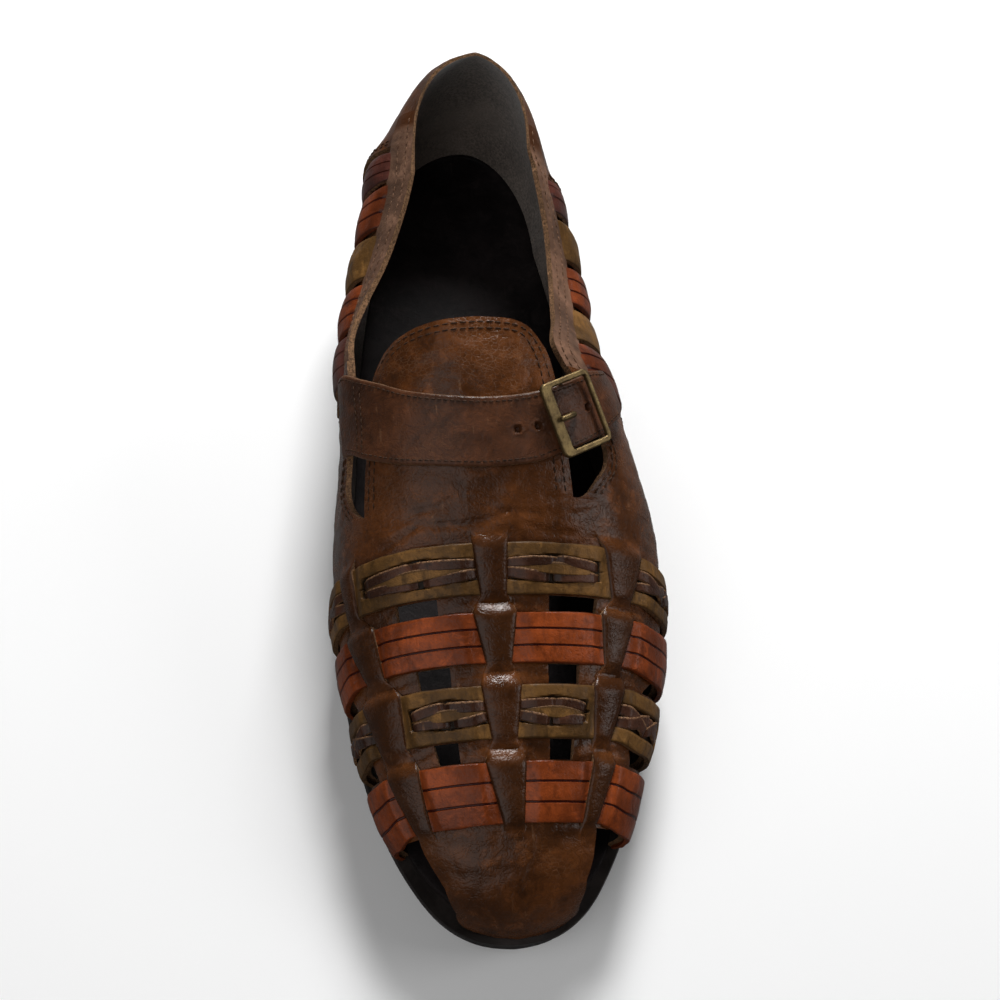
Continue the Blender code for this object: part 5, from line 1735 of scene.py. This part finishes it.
# ---------------------------------------------------------------- settings
class SandalColours(bpy.types.PropertyGroup):
    """Colours of the leathers, the metal and the sole."""
    vamp: bpy.props.FloatVectorProperty(
        name="Vamp", description="Colour of the vamp, strips and counter",
        default=(0.088, 0.0275, 0.0064), subtype="COLOR", min=0.0, max=1.0)
    band: bpy.props.FloatVectorProperty(
        name="Topline band", description="Colour of the matt band along the topline",
        default=(0.150, 0.080, 0.050), subtype="COLOR", min=0.0, max=1.0)
    strap: bpy.props.FloatVectorProperty(
        name="Buckled strap", description="Colour of the strap over the instep",
        default=(0.078, 0.0270, 0.0105), subtype="COLOR", min=0.0, max=1.0)
    orange: bpy.props.FloatVectorProperty(
        name="Orange straps", description="Colour of the grooved woven straps",
        default=(0.205, 0.0400, 0.0074), subtype="COLOR", min=0.0, max=1.0)
    groove: bpy.props.FloatVectorProperty(
        name="Grooves", description="Colour in the grooves of the orange straps",
        default=(0.040, 0.005, 0.003), subtype="COLOR", min=0.0, max=1.0)
    olive: bpy.props.FloatVectorProperty(
        name="Olive straps", description="Colour of the braided woven straps",
        default=(0.138, 0.0655, 0.0175), subtype="COLOR", min=0.0, max=1.0)
    russet: bpy.props.FloatVectorProperty(
        name="Russet strap", description="Colour of the first strap on the inner side",
        default=(0.070, 0.017, 0.010), subtype="COLOR", min=0.0, max=1.0)
    thong: bpy.props.FloatVectorProperty(
        name="Thongs", description="Colour of the braided thongs",
        default=(0.050, 0.0185, 0.0095), subtype="COLOR", min=0.0, max=1.0)
    raw: bpy.props.FloatVectorProperty(
        name="Cut edges", description="Colour of bare cut leather",
        default=(0.185, 0.098, 0.048), subtype="COLOR", min=0.0, max=1.0)
    worn: bpy.props.FloatVectorProperty(
        name="Worn places", description="Colour of scratches and fine cracks",
        default=(0.22, 0.115, 0.060), subtype="COLOR", min=0.0, max=1.0)
    lining: bpy.props.FloatVectorProperty(
        name="Lining", description="Colour of the brushed lining",
        default=(0.170, 0.138, 0.117), subtype="COLOR", min=0.0, max=1.0)
    footbed: bpy.props.FloatVectorProperty(
        name="Footbed", description="Colour of the footbed",
        default=(0.0125, 0.0095, 0.0095), subtype="COLOR", min=0.0, max=1.0)
    rubber: bpy.props.FloatVectorProperty(
        name="Sole", description="Colour of the sole and heel",
        default=(0.0095, 0.0078, 0.0070), subtype="COLOR", min=0.0, max=1.0)
    welt: bpy.props.FloatVectorProperty(
        name="Welt", description="Colour of the waxed welt",
        default=(0.0115, 0.0085, 0.0075), subtype="COLOR", min=0.0, max=1.0)
    brass: bpy.props.FloatVectorProperty(
        name="Brass", description="Colour of the rubbed brass",
        default=(0.185, 0.130, 0.055), subtype="COLOR", min=0.0, max=1.0)
    patina: bpy.props.FloatVectorProperty(
        name="Patina", description="Colour of the brass where it is dark",
        default=(0.115, 0.078, 0.036), subtype="COLOR", min=0.0, max=1.0)
    thread: bpy.props.FloatVectorProperty(
        name="Thread", description="Colour of the sewing thread",
        default=(0.150, 0.080, 0.048), subtype="COLOR", min=0.0, max=1.0)
    back: bpy.props.FloatVectorProperty(
        name="Strap backs", description="Inner faces of the orange straps",
        default=(0.270, 0.078, 0.032), subtype="COLOR", min=0.0, max=1.0)
    floor: bpy.props.FloatVectorProperty(
        name="Floor", description="Colour of the studio floor",
        default=(0.95, 0.95, 0.95), subtype="COLOR", min=0.0, max=1.0)


class SandalSizes(bpy.types.PropertyGroup):
    """Sizes of the woven leather and the sewing."""
    row_thick: bpy.props.FloatProperty(
        name="Forefoot straps", description="Thickness of the straps across the forefoot",
        default=0.0017, min=0.0005, unit="LENGTH", precision=4)
    quarter_thick: bpy.props.FloatProperty(
        name="Side straps", description="Thickness of the straps on the quarters",
        default=0.0016, min=0.0005, unit="LENGTH", precision=4)
    slit_deep: bpy.props.FloatProperty(
        name="Slit depth", description="Depth of the slits that the braids lie in",
        default=0.0013, min=0.0, unit="LENGTH", precision=4)
    thong_wide: bpy.props.FloatProperty(
        name="Thong width", description="Width of one strand of a braid",
        default=0.0033, min=0.0010, unit="LENGTH", precision=4)
    thong_thick: bpy.props.FloatProperty(
        name="Thong thickness", description="Thickness of one strand of a braid",
        default=0.0010, min=0.0004, unit="LENGTH", precision=4)
    thread_wide: bpy.props.FloatProperty(
        name="Thread width", description="Width of one stitch",
        default=0.00058, min=0.0002, unit="LENGTH", precision=5)
    thread_high: bpy.props.FloatProperty(
        name="Thread height", description="Height of one stitch",
        default=0.00058, min=0.0002, unit="LENGTH", precision=5)
    vamp_stitch: bpy.props.FloatProperty(
        name="Vamp stitch", description="Length of a stitch on the tongue and wings",
        default=0.0021, min=0.0008, unit="LENGTH", precision=4)
    topline_stitch: bpy.props.FloatProperty(
        name="Topline stitch", description="Length of a stitch along the topline",
        default=0.0020, min=0.0008, unit="LENGTH", precision=4)
    strap_stitch: bpy.props.FloatProperty(
        name="Strap stitch", description="Length of a stitch on the buckled strap",
        default=0.0015, min=0.0008, unit="LENGTH", precision=4)


class SandalStudio(bpy.types.PropertyGroup):
    """Light and camera."""
    power: bpy.props.FloatProperty(
        name="Lamp power", description="Power of the main lamp", default=11.2, min=0.0, unit="POWER")
    sky: bpy.props.FloatProperty(
        name="Sky", description="Strength of the surroundings overhead", default=0.07, min=0.0)
    lens: bpy.props.FloatProperty(
        name="Lens", description="Focal length of the camera", default=CAMERA_LENS, min=10.0,
        unit="CAMERA")


# ---------------------------------------------------------------- operators
class SANDAL_OT_sole(bpy.types.Operator):
    """Make the sole, welt and heel"""
    bl_idname = "sandal.make_sole"
    bl_label = "Sole, welt and heel"

    def execute(self, context):
        make_sole()
        return {"FINISHED"}


class SANDAL_OT_footbed(bpy.types.Operator):
    """Make the footbed"""
    bl_idname = "sandal.make_footbed"
    bl_label = "Footbed"

    def execute(self, context):
        make_insole()
        return {"FINISHED"}


class SANDAL_OT_vamp(bpy.types.Operator):
    """Make the vamp with its strips, tongue and wings"""
    bl_idname = "sandal.make_vamp"
    bl_label = "Vamp"

    def execute(self, context):
        make_vamp()
        return {"FINISHED"}


class SANDAL_OT_quarters(bpy.types.Operator):
    """Make the quarters with their band and counter"""
    bl_idname = "sandal.make_quarters"
    bl_label = "Quarters"

    def execute(self, context):
        make_quarters()
        return {"FINISHED"}


class SANDAL_OT_woven_straps(bpy.types.Operator):
    """Make the four straps woven across the forefoot"""
    bl_idname = "sandal.make_woven_straps"
    bl_label = "Woven straps"

    def execute(self, context):
        make_woven_straps()
        return {"FINISHED"}


class SANDAL_OT_thongs(bpy.types.Operator):
    """Make the thongs braided through the olive straps"""
    bl_idname = "sandal.make_thongs"
    bl_label = "Braided thongs"

    def execute(self, context):
        make_thongs()
        return {"FINISHED"}


class SANDAL_OT_side_straps(bpy.types.Operator):
    """Make the straps on both quarters"""
    bl_idname = "sandal.make_side_straps"
    bl_label = "Side straps"

    def execute(self, context):
        make_quarter_straps()
        return {"FINISHED"}


class SANDAL_OT_buckled_strap(bpy.types.Operator):
    """Make the instep strap and the tab that holds its buckle"""
    bl_idname = "sandal.make_buckled_strap"
    bl_label = "Instep strap"

    def execute(self, context):
        make_strap()
        return {"FINISHED"}


class SANDAL_OT_buckle(bpy.types.Operator):
    """Make the buckle and its prong"""
    bl_idname = "sandal.make_buckle"
    bl_label = "Buckle"

    def execute(self, context):
        make_buckle()
        return {"FINISHED"}


class SANDAL_OT_seams(bpy.types.Operator):
    """Sew the stitches"""
    bl_idname = "sandal.make_seams"
    bl_label = "Stitches"

    def execute(self, context):
        make_seams()
        return {"FINISHED"}


class SANDAL_OT_stage(bpy.types.Operator):
    """Set up the floor, the lamps and the camera"""
    bl_idname = "sandal.make_stage"
    bl_label = "Stage"

    def execute(self, context):
        studio = context.scene.sandal_studio
        make_floor()
        make_world(studio.sky)
        make_lamps(studio.power)
        make_camera(studio.lens)
        context.scene.view_settings.view_transform = "Standard"
        return {"FINISHED"}


STEPS = (SANDAL_OT_sole, SANDAL_OT_footbed, SANDAL_OT_vamp, SANDAL_OT_quarters,
         SANDAL_OT_woven_straps, SANDAL_OT_thongs, SANDAL_OT_side_straps,
         SANDAL_OT_buckled_strap, SANDAL_OT_buckle, SANDAL_OT_seams, SANDAL_OT_stage)


class SANDAL_PT_maker(bpy.types.Panel):
    """Sizes, colours, studio and the steps of making the sandal"""
    bl_idname = "SANDAL_PT_maker"
    bl_label = "Fisherman sandal"
    bl_space_type = "VIEW_3D"
    bl_region_type = "UI"
    bl_category = "Sandal"

    def draw(self, context):
        scene = context.scene
        for group in (scene.sandal_sizes, scene.sandal_colours, scene.sandal_studio):
            box = self.layout.box()
            for name in group.__annotations__:
                box.prop(group, name)
        for step in STEPS:
            self.layout.operator(step.bl_idname)


CLASSES = (SandalSizes, SandalColours, SandalStudio) + STEPS + (SANDAL_PT_maker,)


def register():
    for kind in CLASSES:
        bpy.utils.register_class(kind)
    bpy.types.Scene.sandal_sizes = bpy.props.PointerProperty(type=SandalSizes)
    bpy.types.Scene.sandal_colours = bpy.props.PointerProperty(type=SandalColours)
    bpy.types.Scene.sandal_studio = bpy.props.PointerProperty(type=SandalStudio)


def unregister():
    del bpy.types.Scene.sandal_studio
    del bpy.types.Scene.sandal_colours
    del bpy.types.Scene.sandal_sizes
    for kind in reversed(CLASSES):
        bpy.utils.unregister_class(kind)


def main():
    register()
    for step in STEPS:
        group, name = step.bl_idname.split(".")
        getattr(getattr(bpy.ops, group), name)()


if __name__ == "__main__":
    main()
